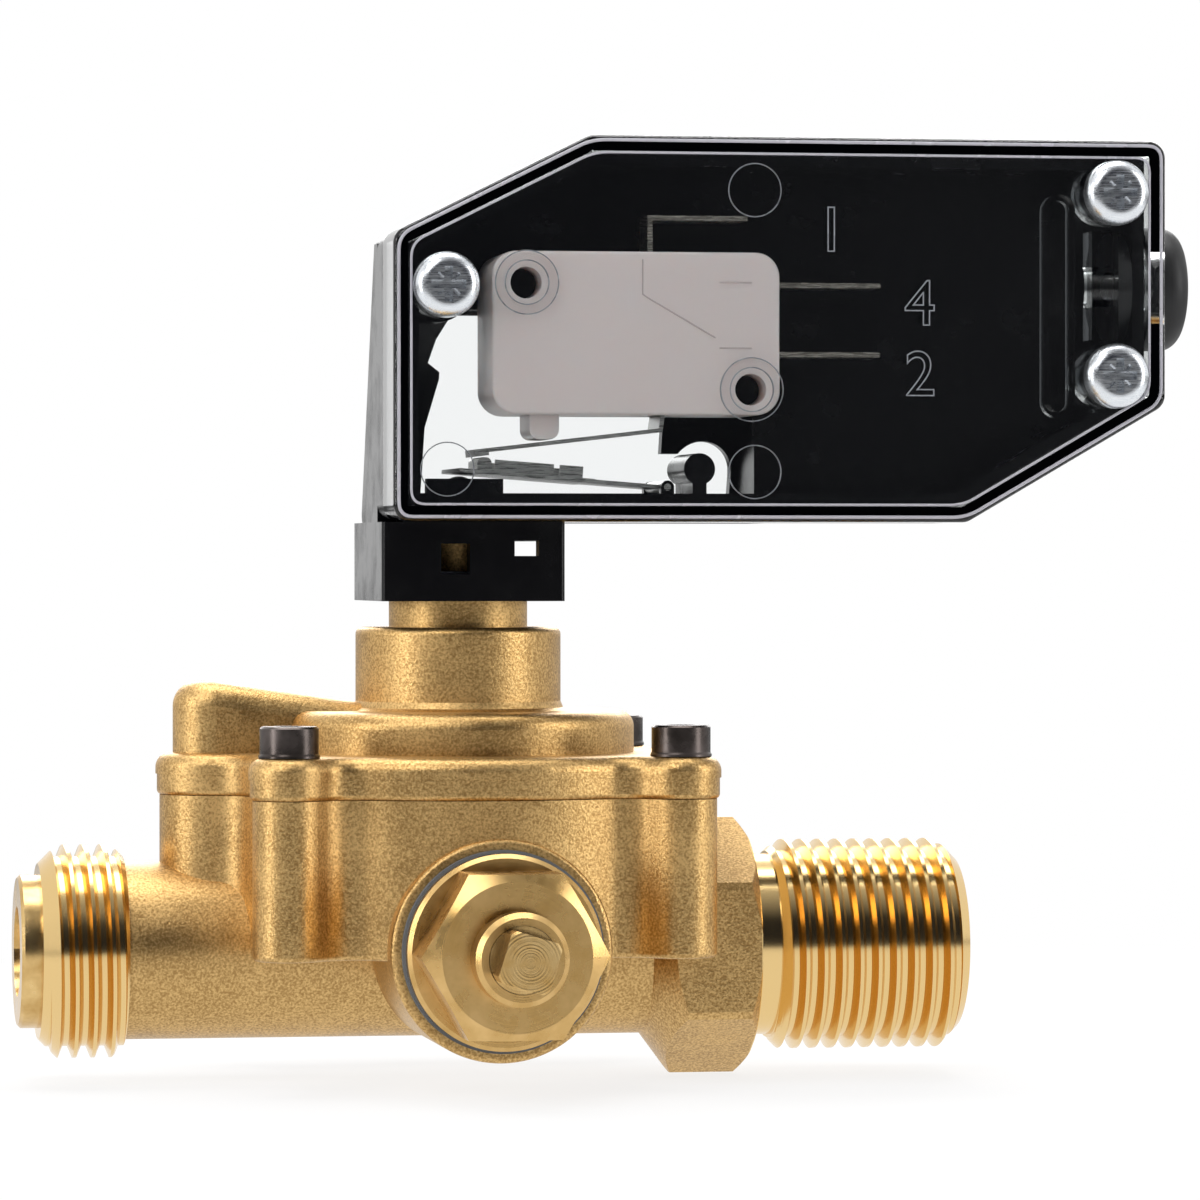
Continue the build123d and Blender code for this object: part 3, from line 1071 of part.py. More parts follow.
def make_microswitch_lid():
    """Lid at the back of the micro switch."""
    lid = slab_y(micro_outline(0), MICRO_BACK - MICRO_LID, MICRO_BACK)
    lid = fillet(edges_at_y(lid, MICRO_BACK), MICRO_EDGE_ROUND)
    for x, z in MICRO_HOLES:
        lid -= bar_y(MICRO_HOLE_R, MICRO_BACK - MICRO_LID, MICRO_BACK, x, z)
    return lid


def strip(x0, x1, z0, z1, width):
    """Sheet metal block centred on the micro switch in Y."""
    return block(x0, x1, MICRO_MID_Y - width / 2, MICRO_MID_Y + width / 2, z0, z1)


def tab(x0, x1, z):
    """Connecting tab with a bevelled end at x1."""
    made = strip(x0, x1, z - TERMINAL_THICK / 2, z + TERMINAL_THICK / 2, TERMINAL_WIDTH)
    return chamfer(made.faces().sort_by(Axis.X)[-1].edges(), TERMINAL_TIP_CHAMFER)


def make_terminal_closed():
    """Normally closed terminal with its fixed contact below the blade."""
    top = BLADE_Z - CONTACT_HALF - CONTACT_GAP_CLOSED
    foot = TERMINAL_CLOSED_Z + TERMINAL_THICK / 2
    terminal = tab(TERMINAL_INNER_X, TERMINAL_REACH, TERMINAL_CLOSED_Z)
    return terminal + bar_z(CONTACT_R, foot, top, CONTACT_X, MICRO_MID_Y)


def make_terminal_open():
    """Normally open terminal, bent down to its fixed contact above the blade."""
    low = BLADE_Z + CONTACT_HALF + CONTACT_GAP_OPEN
    seat = low + TERMINAL_THICK
    left = TERMINAL_INNER_X - TERMINAL_THICK
    right = CONTACT_X + CONTACT_R
    terminal = tab(TERMINAL_INNER_X, TERMINAL_REACH, TERMINAL_OPEN_Z)
    terminal += strip(left, TERMINAL_INNER_X, seat, TERMINAL_OPEN_Z + TERMINAL_THICK / 2, TERMINAL_WIDTH)
    terminal += strip(left, right, seat, seat + TERMINAL_THICK, TERMINAL_WIDTH)
    return terminal + bar_z(CONTACT_R, low, seat, CONTACT_X, MICRO_MID_Y)


def make_terminal_common():
    """Common terminal: out at the top, and inside a rail to the blade's anchor."""
    half = TERMINAL_THICK / 2
    wide = TERMINAL_WIDTH
    left = TERMINAL_COMMON_X - half
    right = TERMINAL_COMMON_X + half
    anchor_left = BLADE_ANCHOR_X - half
    anchor_low = BLADE_Z + BLADE_BEAD_R + BLADE_HINGE_GAP
    terminal = tab(left, TERMINAL_COMMON_END_X, TERMINAL_COMMON_TOP_Z)
    terminal += strip(left, right, COMMON_RAIL_Z, TERMINAL_COMMON_TOP_Z, wide)
    terminal += strip(anchor_left, right, COMMON_RAIL_Z - half, COMMON_RAIL_Z + half, wide)
    return terminal + strip(anchor_left, BLADE_ANCHOR_X + half, anchor_low, COMMON_RAIL_Z, wide)


def make_contact_blade():
    """Moving contact blade with its double contact."""
    low = BLADE_Z - BLADE_THICK / 2
    top = BLADE_Z + BLADE_THICK / 2
    half = BLADE_WIDTH / 2
    blade = strip(BLADE_ANCHOR_X - TERMINAL_THICK / 2, CONTACT_X + CONTACT_R, low, top, BLADE_WIDTH)
    blade -= strip(SNAP_SPRING_LEFT + 1, SNAP_SPRING_RIGHT - 1, low, top, SNAP_SPRING_WIDTH)
    blade += bar_y(BLADE_BEAD_R, MICRO_MID_Y - half, MICRO_MID_Y + half, BLADE_ANCHOR_X, BLADE_Z)
    return blade + bar_z(CONTACT_R, BLADE_Z - CONTACT_HALF, BLADE_Z + CONTACT_HALF, CONTACT_X, MICRO_MID_Y)


def make_snap_spring():
    """Curved tongue spring that snaps the blade over."""
    top = BLADE_Z - BLADE_THICK / 2 - SNAP_SPRING_GAP
    low = top - SNAP_SPRING_THICK
    left = SNAP_SPRING_LEFT
    right = SNAP_SPRING_RIGHT
    middle = (left + right) / 2
    upper = ThreePointArc((left, top), (middle, top - SNAP_SPRING_RISE), (right, top))
    lower = ThreePointArc((right, low), (middle, low - SNAP_SPRING_RISE), (left, low))
    face = make_face([upper, Line(upper @ 1, lower @ 0), lower, Line(lower @ 1, upper @ 0)])
    return slab_y(face, MICRO_MID_Y - SNAP_SPRING_WIDTH / 2, MICRO_MID_Y + SNAP_SPRING_WIDTH / 2)


def make_plunger():
    """Plunger of the micro switch, with a head that keeps it in the case."""
    left = PLUNGER_X - PLUNGER_WIDTH / 2
    right = PLUNGER_X + PLUNGER_WIDTH / 2
    plunger = strip(left, right, PLUNGER_TIP_Z, PLUNGER_TOP_Z, PLUNGER_DEPTH)
    tip = plunger.faces().sort_by(Axis.Z)[0].edges().filter_by(Axis.Y)
    plunger = fillet(tip, PLUNGER_TIP_ROUND)
    low = MICRO_BOTTOM + MICRO_WALL + PLUNGER_HEAD_GAP
    return plunger + strip(left - PLUNGER_HEAD, right + PLUNGER_HEAD, low, low + PLUNGER_HEAD, PLUNGER_DEPTH)


def lean(x0, z0, x1, z1):
    """Angle of the line between two points in (x, z), in degrees, for a turn about Y."""
    return -degrees(atan2(z1 - z0, x1 - x0))


def make_switch_lever():
    """Sheet steel lever under the plunger, hooked into the case at its right end."""
    length = sqrt((LEVER_BEND_X - LEVER_TIP_X) ** 2 + (LEVER_BEND_Z - LEVER_TIP_Z) ** 2)
    half = LEVER_THICK / 2
    wide = LEVER_WIDTH / 2
    blade = block(0, length + half, -wide, wide, -half, half)
    blade += block(0, LEVER_TIP_PAD, -wide, wide, half - LEVER_TIP_THICK, half)
    blade_lean = lean(LEVER_TIP_X, LEVER_TIP_Z, LEVER_BEND_X, LEVER_BEND_Z)
    blade = Pos(LEVER_TIP_X, MICRO_MID_Y, LEVER_TIP_Z) * Rot(0, blade_lean, 0) * blade
    rise = sqrt((LEVER_PIVOT_X - LEVER_BEND_X) ** 2 + (LEVER_PIVOT_Z - LEVER_BEND_Z) ** 2)
    leg = block(0, rise, -wide, wide, -half, half)
    leg_lean = lean(LEVER_BEND_X, LEVER_BEND_Z, LEVER_PIVOT_X, LEVER_PIVOT_Z)
    leg = Pos(LEVER_BEND_X, MICRO_MID_Y, LEVER_BEND_Z) * Rot(0, leg_lean, 0) * leg
    bend = bar_y(half, MICRO_MID_Y - wide, MICRO_MID_Y + wide, LEVER_BEND_X, LEVER_BEND_Z)
    bead = bar_y(LEVER_PIVOT_R, MICRO_MID_Y - wide, MICRO_MID_Y + wide, LEVER_PIVOT_X, LEVER_PIVOT_Z)
    return blade + bend + leg + bead


def make_actuating_lever():
    """Lever between the push rod and the micro switch: blade, folded channel, tab and pivot eye."""
    over_rod = ROD_TOP_Z + ARM_GAP + ARM_THICK / 2
    tilt = lean(ARM_PIVOT_X, ARM_PIVOT_Z, 2 * ARM_PIVOT_X, ARM_PIVOT_Z - (over_rod - ARM_PIVOT_Z))
    half = ARM_THICK / 2
    left = ARM_LEFT - ARM_PIVOT_X
    wide_right = ARM_WIDE_RIGHT - ARM_PIVOT_X
    arm = block(left, wide_right, ARM_FRONT, ARM_REAR, -half, half)
    arm += block(wide_right, 0, ARM_EYE_FRONT, ARM_EYE_REAR, -half, half)
    start = ARM_CHANNEL_LEFT - ARM_PIVOT_X
    end = ARM_CHANNEL_RIGHT - ARM_PIVOT_X
    notch = ARM_CHANNEL_NOTCH_X - ARM_PIVOT_X
    for y0 in (ARM_FRONT, ARM_REAR - ARM_THICK):
        flange = block(start, end, y0, y0 + ARM_THICK, -half, ARM_CHANNEL_HEIGHT)
        arm += flange - block(notch, notch + ARM_CHANNEL_NOTCH, y0, y0 + ARM_THICK, half, ARM_CHANNEL_HEIGHT)
    arm += bar_y(ARM_EYE_R, ARM_EYE_FRONT, ARM_EYE_REAR)
    arm -= bar_y(ARM_PIN_R + ARM_PIN_FIT, ARM_EYE_FRONT, ARM_EYE_REAR)
    arm = Pos(ARM_PIVOT_X, 0, ARM_PIVOT_Z) * Rot(0, tilt, 0) * arm
    half = ARM_TAB_WIDTH / 2
    finger_top = lever_underside(ARM_TAB_X) - ARM_GAP
    finger = strip(ARM_TAB_X - half, ARM_TAB_X + half, over_rod, finger_top, LEVER_WIDTH)
    finger = fillet(finger.faces().sort_by(Axis.Z)[-1].edges().filter_by(Axis.Y), half * 0.8)
    return arm + finger


def lever_underside(x):
    """Height of the underside of the micro switch lever's tip pad at x."""
    slope = (LEVER_BEND_Z - LEVER_TIP_Z) / (LEVER_BEND_X - LEVER_TIP_X)
    below = (LEVER_TIP_THICK - LEVER_THICK / 2) * sqrt(1 + slope * slope)
    return LEVER_TIP_Z + slope * (x - LEVER_TIP_X) - below


def make_lever_pin():
    """Steel pin of the actuating lever."""
    reach = ARM_EAR_GAP + ARM_EAR_THICK
    return bar_y(ARM_PIN_R, ARM_EYE_FRONT - reach, ARM_EYE_REAR + reach, ARM_PIVOT_X, ARM_PIVOT_Z)


def make_cable_grommet():
    """Rubber grommet held between the cover and the base at the cable entry."""
    wall_in = CASE_RIGHT - COVER_WALL - BASE_LIP_GAP - BASE_LIP_THICK - GROMMET_FIT
    inner = wall_in - GROMMET_INNER_THICK
    outer = CASE_RIGHT + GROMMET_FIT
    tip = outer + GROMMET_DOME
    body = turned_x([
        (inner, 0), (inner, GROMMET_INNER_R), (wall_in, GROMMET_INNER_R), (wall_in, GROMMET_NECK_R),
        (outer, GROMMET_NECK_R), (outer, GROMMET_FLANGE_R), (tip, GROMMET_FLANGE_R), (tip, 0)])
    rim = [e for e in body.edges() if e.bounding_box().min.X > tip - EDGE_TOLERANCE]
    body = fillet(rim, GROMMET_DOME_ROUND)
    return Pos(0, CASE_SPLIT, GROMMET_Z) * (body - bar_x(CABLE_BORE_R, inner, tip))


PIECES = {
    "valve_body": make_valve_body,
    "valve_cover": make_valve_cover,
    "cover_screws": make_cover_screws,
    "channel_seal": make_channel_seal,
    "venturi_nozzle": make_venturi_nozzle,
    "nozzle_seal": make_nozzle_seal,
    "diaphragm": make_diaphragm,
    "upper_plate": make_upper_plate,
    "lower_plate": make_lower_plate,
    "push_rod": make_push_rod,
    "rod_nut": make_rod_nut,
    "return_spring": make_return_spring,
    "stem_seal": make_stem_seal,
    "gland_bush": make_gland_bush,
    "gland_washer": make_gland_washer,
    "gland_nut": make_gland_nut,
    "spindle": make_spindle,
    "spindle_seal": make_spindle_seal,
    "retaining_ring": make_retaining_ring,
    "throttle_plug": make_throttle_plug,
    "switch_base": make_switch_base,
    "clear_cover": make_clear_cover,
    "case_screws": make_case_screws,
    "housing_clip": make_housing_clip,
    "microswitch_case": make_microswitch_case,
    "microswitch_lid": make_microswitch_lid,
    "terminal_common": make_terminal_common,
    "terminal_open": make_terminal_open,
    "terminal_closed": make_terminal_closed,
    "contact_blade": make_contact_blade,
    "snap_spring": make_snap_spring,
    "plunger": make_plunger,
    "switch_lever": make_switch_lever,
    "actuating_lever": make_actuating_lever,
    "lever_pin": make_lever_pin,
    "cable_grommet": make_cable_grommet,
}


def main():
    """Make each piece, move it to the inlet frame and write its STEP file."""
    os.makedirs("parts", exist_ok=True)
    for name, make in PIECES.items():
        made = make()
        solids = made if isinstance(made, list) else made.solids()
        moved = Compound([Pos(-INLET_REACH, 0, 0) * solid for solid in solids])
        export_step(moved, f"parts/{name}.step")
        print(name, len(moved.solids()), round(moved.volume, 1))


if __name__ == "__main__":
    main()
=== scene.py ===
"""Looks of a brass flow switch: finishes, fine detail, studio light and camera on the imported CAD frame."""
import logging
import math
from dataclasses import dataclass, field
from enum import Enum
from typing import Any

import bmesh
import bpy
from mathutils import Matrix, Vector


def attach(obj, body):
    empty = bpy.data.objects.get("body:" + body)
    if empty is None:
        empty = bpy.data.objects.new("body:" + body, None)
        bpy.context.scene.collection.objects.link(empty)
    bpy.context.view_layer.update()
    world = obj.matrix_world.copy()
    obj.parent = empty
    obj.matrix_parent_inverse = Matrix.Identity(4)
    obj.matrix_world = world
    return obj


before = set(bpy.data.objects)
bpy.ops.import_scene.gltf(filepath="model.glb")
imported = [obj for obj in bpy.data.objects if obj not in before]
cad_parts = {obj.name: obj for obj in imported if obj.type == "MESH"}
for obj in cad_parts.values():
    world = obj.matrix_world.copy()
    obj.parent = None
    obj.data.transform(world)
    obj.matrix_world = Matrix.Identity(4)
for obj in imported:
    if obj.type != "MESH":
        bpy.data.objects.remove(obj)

LOG = logging.getLogger("flow_switch")
MM = 0.001
NECK_X = -50 * MM
WHITE = (1.0, 1.0, 1.0, 1.0)

# sRGB curve: end of its straight part, slope there, offset and power above it.
SRGB_END, SRGB_SLOPE, SRGB_OFFSET, SRGB_POWER = 0.04045, 12.92, 0.055, 2.4
# The part of 0 to 1 that a noise pattern mostly stays in, and the weight of its finer layers.
NOISE_LOW, NOISE_HIGH = 0.3, 0.7
NOISE_ROUGHNESS = 0.6
# How far the roughness of handled or rolled metal goes below and above its own.
UNEVEN_LOW, UNEVEN_HIGH = 0.8, 1.3
# Smoothness of a round bead.
BEAD_STEPS = 3

Socket = bpy.types.NodeSocket
Tree = bpy.types.NodeTree


class Axis(Enum):
    """Row axis that a turned or rolled finish follows."""

    X = 0
    Y = 1
    Z = 2


def linear(colour: str) -> tuple[float, float, float, float]:
    """Turns an sRGB hex colour into the linear one that Blender's shaders expect.

    Args:
        colour: six hex digits.

    Returns:
        Linear red, green, blue and an alpha of 1.
    """
    channels = [int(colour[i:i + 2], 16) / 255 for i in (0, 2, 4)]
    made = [c / SRGB_SLOPE if c <= SRGB_END else ((c + SRGB_OFFSET) / (1 + SRGB_OFFSET)) ** SRGB_POWER
            for c in channels]
    return (made[0], made[1], made[2], 1.0)


def place(x: float, y: float, z: float) -> Vector:
    """Turns millimetres measured from the neck axis into the row frame.

    Args:
        x, y, z: place in mm, with x from the neck axis.

    Returns:
        The place in metres in the row frame.
    """
    return Vector((x * MM + NECK_X, y * MM, z * MM))


def add_node(tree: Tree, kind: str, inputs: dict[Any, Any] | None = None,
             **settings: Any) -> bpy.types.Node:
    """Adds a shader node, sets its options and fills or links its inputs.

    Args:
        tree: node tree that gets the node.
        kind: Blender's name for the node's type.
        inputs: input name or index to a value, or to a socket that it is linked from.
        settings: properties of the node.

    Returns:
        The new node.
    """
    node = tree.nodes.new(kind)
    for name, value in settings.items():
        setattr(node, name, value)
    for key, value in (inputs or {}).items():
        if isinstance(value, Socket):
            tree.links.new(value, node.inputs[key])
        else:
            node.inputs[key].default_value = value
    return node


def calculate(tree: Tree, operation: str, *values: float | Socket) -> Socket:
    """Adds a calculation with numbers.

    Args:
        tree: node tree that gets the node.
        operation: Blender's name for the operation.
        values: numbers or sockets that it works on.

    Returns:
        The result.
    """
    return add_node(tree, "ShaderNodeMath", dict(enumerate(values)), operation=operation).outputs[0]


def calculate_vector(tree: Tree, operation: str, *values: tuple[float, ...] | Socket) -> Socket:
    """Adds a calculation with vectors.

    Args:
        tree: node tree that gets the node.
        operation: Blender's name for the operation.
        values: vectors or sockets that it works on.

    Returns:
        The result: a number for a length, otherwise a vector.
    """
    node = add_node(tree, "ShaderNodeVectorMath", dict(enumerate(values)), operation=operation)
    return node.outputs["Value" if operation == "LENGTH" else "Vector"]


def map_range(tree: Tree, value: Socket, start: float, stop: float, low: float = 0.0,
              high: float = 1.0) -> Socket:
    """Maps part of a pattern to a range of numbers, and holds it at the ends.

    Args:
        tree: node tree that gets the node.
        value: pattern to map.
        start, stop: part of the pattern that is mapped.
        low, high: numbers at the two ends.

    Returns:
        The mapped number.
    """
    inputs = {"Value": value, "From Min": start, "From Max": stop, "To Min": low, "To Max": high}
    return add_node(tree, "ShaderNodeMapRange", inputs).outputs["Result"]


def mix_numbers(tree: Tree, share: Socket, first: float | Socket, second: float | Socket) -> Socket:
    """Mixes two numbers.

    Args:
        tree: node tree that gets the node.
        share: share of the second number.
        first, second: numbers or sockets.

    Returns:
        The mixed number.
    """
    return add_node(tree, "ShaderNodeMix", {0: share, 2: first, 3: second}).outputs[0]


def mix_colours(tree: Tree, share: Socket, first: Any, second: Any) -> Socket:
    """Mixes two colours.

    Args:
        tree: node tree that gets the node.
        share: share of the second colour.
        first, second: colours or sockets.

    Returns:
        The mixed colour.
    """
    return add_node(tree, "ShaderNodeMix", {0: share, 6: first, 7: second}, data_type="RGBA").outputs[2]


@dataclass(frozen=True)
class Finish:
    """One real material after one process. Subclasses add the pattern that the process leaves."""

    name: str
    colour: str
    roughness: float
    metallic: float = 0.0

    def build(self) -> bpy.types.Material:
        """Makes the Blender material.

        Returns:
            The material, with its pattern linked in.
        """
        material = bpy.data.materials.new(self.name)
        material.use_nodes = True
        tree = material.node_tree
        shader = tree.nodes["Principled BSDF"]
        shader.inputs["Base Color"].default_value = linear(self.colour)
        shader.inputs["Roughness"].default_value = self.roughness
        shader.inputs["Metallic"].default_value = self.metallic
        where = add_node(tree, "ShaderNodeTexCoord").outputs["Object"]
        self.pattern(tree, shader, where)
        return material

    def pattern(self, tree: Tree, shader: bpy.types.Node, where: Socket) -> None:
        """Links what the process leaves on the surface.

        Args:
            tree: node tree of the material.
            shader: its surface shader.
            where: place on the object, in metres.
        """

    def noise(self, tree: Tree, where: Socket, size_mm: float, detail: float = 3.0) -> Socket:
        """Adds a noise pattern with grains of a real size.

        Args:
            tree: node tree of the material.
            where: place on the object, in metres.
            size_mm: size of a grain.
            detail: number of finer layers.

        Returns:
            The pattern, from 0 to 1.
        """
        inputs = {"Vector": where, "Scale": 1 / (size_mm * MM), "Detail": detail,
                  "Roughness": NOISE_ROUGHNESS}
        return add_node(tree, "ShaderNodeTexNoise", inputs).outputs["Fac"]

    def lathe_lines(self, tree: Tree, along: Socket, size_mm: float, detail: float) -> Socket:
        """Adds the lines that a cutting tool leaves.

        Args:
            tree: node tree of the material.
            along: distance along the cut, in metres.
            size_mm: width of a line.
            detail: number of finer layers.

        Returns:
            The pattern, from 0 to 1.
        """
        inputs = {"W": along, "Scale": 1 / (size_mm * MM), "Detail": detail}
        return add_node(tree, "ShaderNodeTexNoise", inputs, noise_dimensions="1D").outputs["Fac"]

    def uneven(self, tree: Tree, value: Socket) -> Socket:
        """Varies the roughness by a pattern.

        Args:
            tree: node tree of the material.
            value: pattern that it follows.

        Returns:
            The roughness.
        """
        low, high = self.roughness * UNEVEN_LOW, self.roughness * UNEVEN_HIGH
        return map_range(tree, value, NOISE_LOW, NOISE_HIGH, low, high)

    def tint(self, tree: Tree, value: Socket, first: str, second: str) -> Socket:
        """Blends two colours by a pattern.

        Args:
            tree: node tree of the material.
            value: pattern that it follows.
            first, second: hex colours at its low and its high end.

        Returns:
            The colour.
        """
        ramp = add_node(tree, "ShaderNodeValToRGB", {"Fac": value})
        stops = zip(ramp.color_ramp.elements, (NOISE_LOW, NOISE_HIGH), (first, second))
        for stop, position, colour in stops:
            stop.position = position
            stop.color = linear(colour)
        return ramp.outputs["Color"]

    def bump(self, tree: Tree, shader: bpy.types.Node, height: Socket, depth_mm: float) -> None:
        """Adds a bump of a real depth to the surface.

        Args:
            tree: node tree of the material.
            shader: surface shader that gets the bump.
            height: pattern from 0 to 1.
            depth_mm: height difference between 0 and 1.
        """
        inputs = {"Height": height, "Distance": depth_mm * MM, "Strength": 1.0}
        normal = add_node(tree, "ShaderNodeBump", inputs).outputs["Normal"]
        tree.links.new(normal, shader.inputs["Normal"])


@dataclass(frozen=True)
class BlastedBrass(Finish):
    """Sand cast brass after shot blasting: a dull, dimpled skin. Its machined ends are bright and turned."""

    pit_colour: str = "A5824F"
    grain_mm: float = 0.24
    grain_depth_mm: float = 0.035
    cloud_mm: float = 7.0
    cloud_share: float = 0.4
    tarnish: tuple[float, float] = (0.55, 0.85)
    dulling: tuple[float, float] = (-0.05, 0.08)
    bright_colour: str = "E7C689"
    bright_roughness: float = 0.18
    bright_from_mm: float = 1000.0
    bright_below_mm: float = -1000.0
    cut_mm: float = 0.11
    cut_depth_mm: float = 0.004

    def pattern(self, tree: Tree, shader: bpy.types.Node, where: Socket) -> None:
        """Links the dimples, the uneven tarnish and the turned ends."""
        along = add_node(tree, "ShaderNodeSeparateXYZ", {0: where}).outputs[0]
        right = calculate(tree, "GREATER_THAN", along, self.bright_from_mm * MM + NECK_X)
        left = calculate(tree, "LESS_THAN", along, self.bright_below_mm * MM + NECK_X)
        turned = calculate(tree, "MAXIMUM", right, left)
        grain = self.noise(tree, where, self.grain_mm, 2.0)
        cloud = self.noise(tree, where, self.cloud_mm, 4.0)
        mixed = calculate(tree, "MULTIPLY_ADD", cloud, self.cloud_share, grain)
        tarnish = map_range(tree, mixed, *self.tarnish, NOISE_LOW, NOISE_HIGH)
        skin = self.tint(tree, tarnish, self.pit_colour, self.colour)
        colour = mix_colours(tree, turned, skin, linear(self.bright_colour))
        tree.links.new(colour, shader.inputs["Base Color"])
        low, high = (self.roughness + change for change in self.dulling)
        dull = map_range(tree, cloud, NOISE_LOW, NOISE_HIGH, low, high)
        rough = mix_numbers(tree, turned, dull, self.bright_roughness)
        tree.links.new(rough, shader.inputs["Roughness"])
        cuts = self.lathe_lines(tree, along, self.cut_mm, 1.0)
        dimples = calculate(tree, "MULTIPLY", grain, self.grain_depth_mm)
        shallow = calculate(tree, "MULTIPLY", cuts, self.cut_depth_mm)
        # This height is in millimetres already, so a depth of 1 keeps it.
        self.bump(tree, shader, mix_numbers(tree, turned, dimples, shallow), 1.0)


@dataclass(frozen=True)
class TurnedMetal(Finish):
    """Metal turned on a lathe: fine rings round its axis, which spread a highlight into a bow tie."""

    second: str = "C09A5C"
    centre: tuple[float, float, float] = (0.0, 0.0, 0.0)
    axis: Axis = Axis.Y
    ring_mm: float = 0.12
    ring_depth_mm: float = 0.006
    haze_mm: float = 3.0

    def pattern(self, tree: Tree, shader: bpy.types.Node, where: Socket) -> None:
        """Links the rings, a faint handling haze and small colour changes."""
        moved = calculate_vector(tree, "SUBTRACT", where, tuple(place(*self.centre)))
        across = tuple(0.0 if axis is self.axis else 1.0 for axis in Axis)
        radius = calculate_vector(tree, "LENGTH", calculate_vector(tree, "MULTIPLY", moved, across))
        along = add_node(tree, "ShaderNodeSeparateXYZ", {0: moved}).outputs[self.axis.value]
        rings = self.lathe_lines(tree, calculate(tree, "ADD", radius, along), self.ring_mm, 2.0)
        haze = self.noise(tree, where, self.haze_mm)
        tree.links.new(self.tint(tree, haze, self.second, self.colour), shader.inputs["Base Color"])
        tree.links.new(self.uneven(tree, haze), shader.inputs["Roughness"])
        self.bump(tree, shader, rings, self.ring_depth_mm)


@dataclass(frozen=True)
class RolledMetal(Finish):
    """Rolled or drawn metal: faint streaks along X and a light haze."""

    second: str = "8F8F8C"
    streak_mm: float = 0.08
    streak_depth_mm: float = 0.002
    stretch: tuple[float, float, float] = (0.04, 1.0, 1.0)

    def pattern(self, tree: Tree, shader: bpy.types.Node, where: Socket) -> None:
        """Links the rolling streaks."""
        stretched = calculate_vector(tree, "MULTIPLY", where, self.stretch)
        streaks = self.noise(tree, stretched, self.streak_mm, 2.0)
        tree.links.new(self.tint(tree, streaks, self.second, self.colour), shader.inputs["Base Color"])
        tree.links.new(self.uneven(tree, streaks), shader.inputs["Roughness"])
        self.bump(tree, shader, streaks, self.streak_depth_mm)


@dataclass(frozen=True)
class Moulding(Finish):
    """Injection moulded plastic or rubber: a fine even texture with handling marks."""

    texture_mm: float = 0.18
    texture_depth_mm: float = 0.004
    scatter: float = 0.0
    scatter_mm: float = 1.5
    scatter_rgb: tuple[float, float, float] = (1.0, 0.8, 0.7)
    clear: float = 0.0
    gloss: float = 0.5
    ior: float = 1.5
    mark_mm: float = 5.0
    mark_part: tuple[float, float] = (0.45, 0.75)
    mark_roughness: float = 0.12

    def pattern(self, tree: Tree, shader: bpy.types.Node, where: Socket) -> None:
        """Links the moulded texture, and sets how far light goes into it."""
        shader.inputs["IOR"].default_value = self.ior
        shader.inputs["Specular IOR Level"].default_value = self.gloss
        shader.inputs["Transmission Weight"].default_value = self.clear
        if self.scatter:
            shader.inputs["Subsurface Weight"].default_value = self.scatter
            shader.inputs["Subsurface Radius"].default_value = self.scatter_rgb
            shader.inputs["Subsurface Scale"].default_value = self.scatter_mm * MM
        handled = self.noise(tree, where, self.mark_mm, 5.0)
        highest = self.roughness + self.mark_roughness
        rough = map_range(tree, handled, *self.mark_part, self.roughness, highest)
        tree.links.new(rough, shader.inputs["Roughness"])
        self.bump(tree, shader, self.noise(tree, where, self.texture_mm), self.texture_depth_mm)


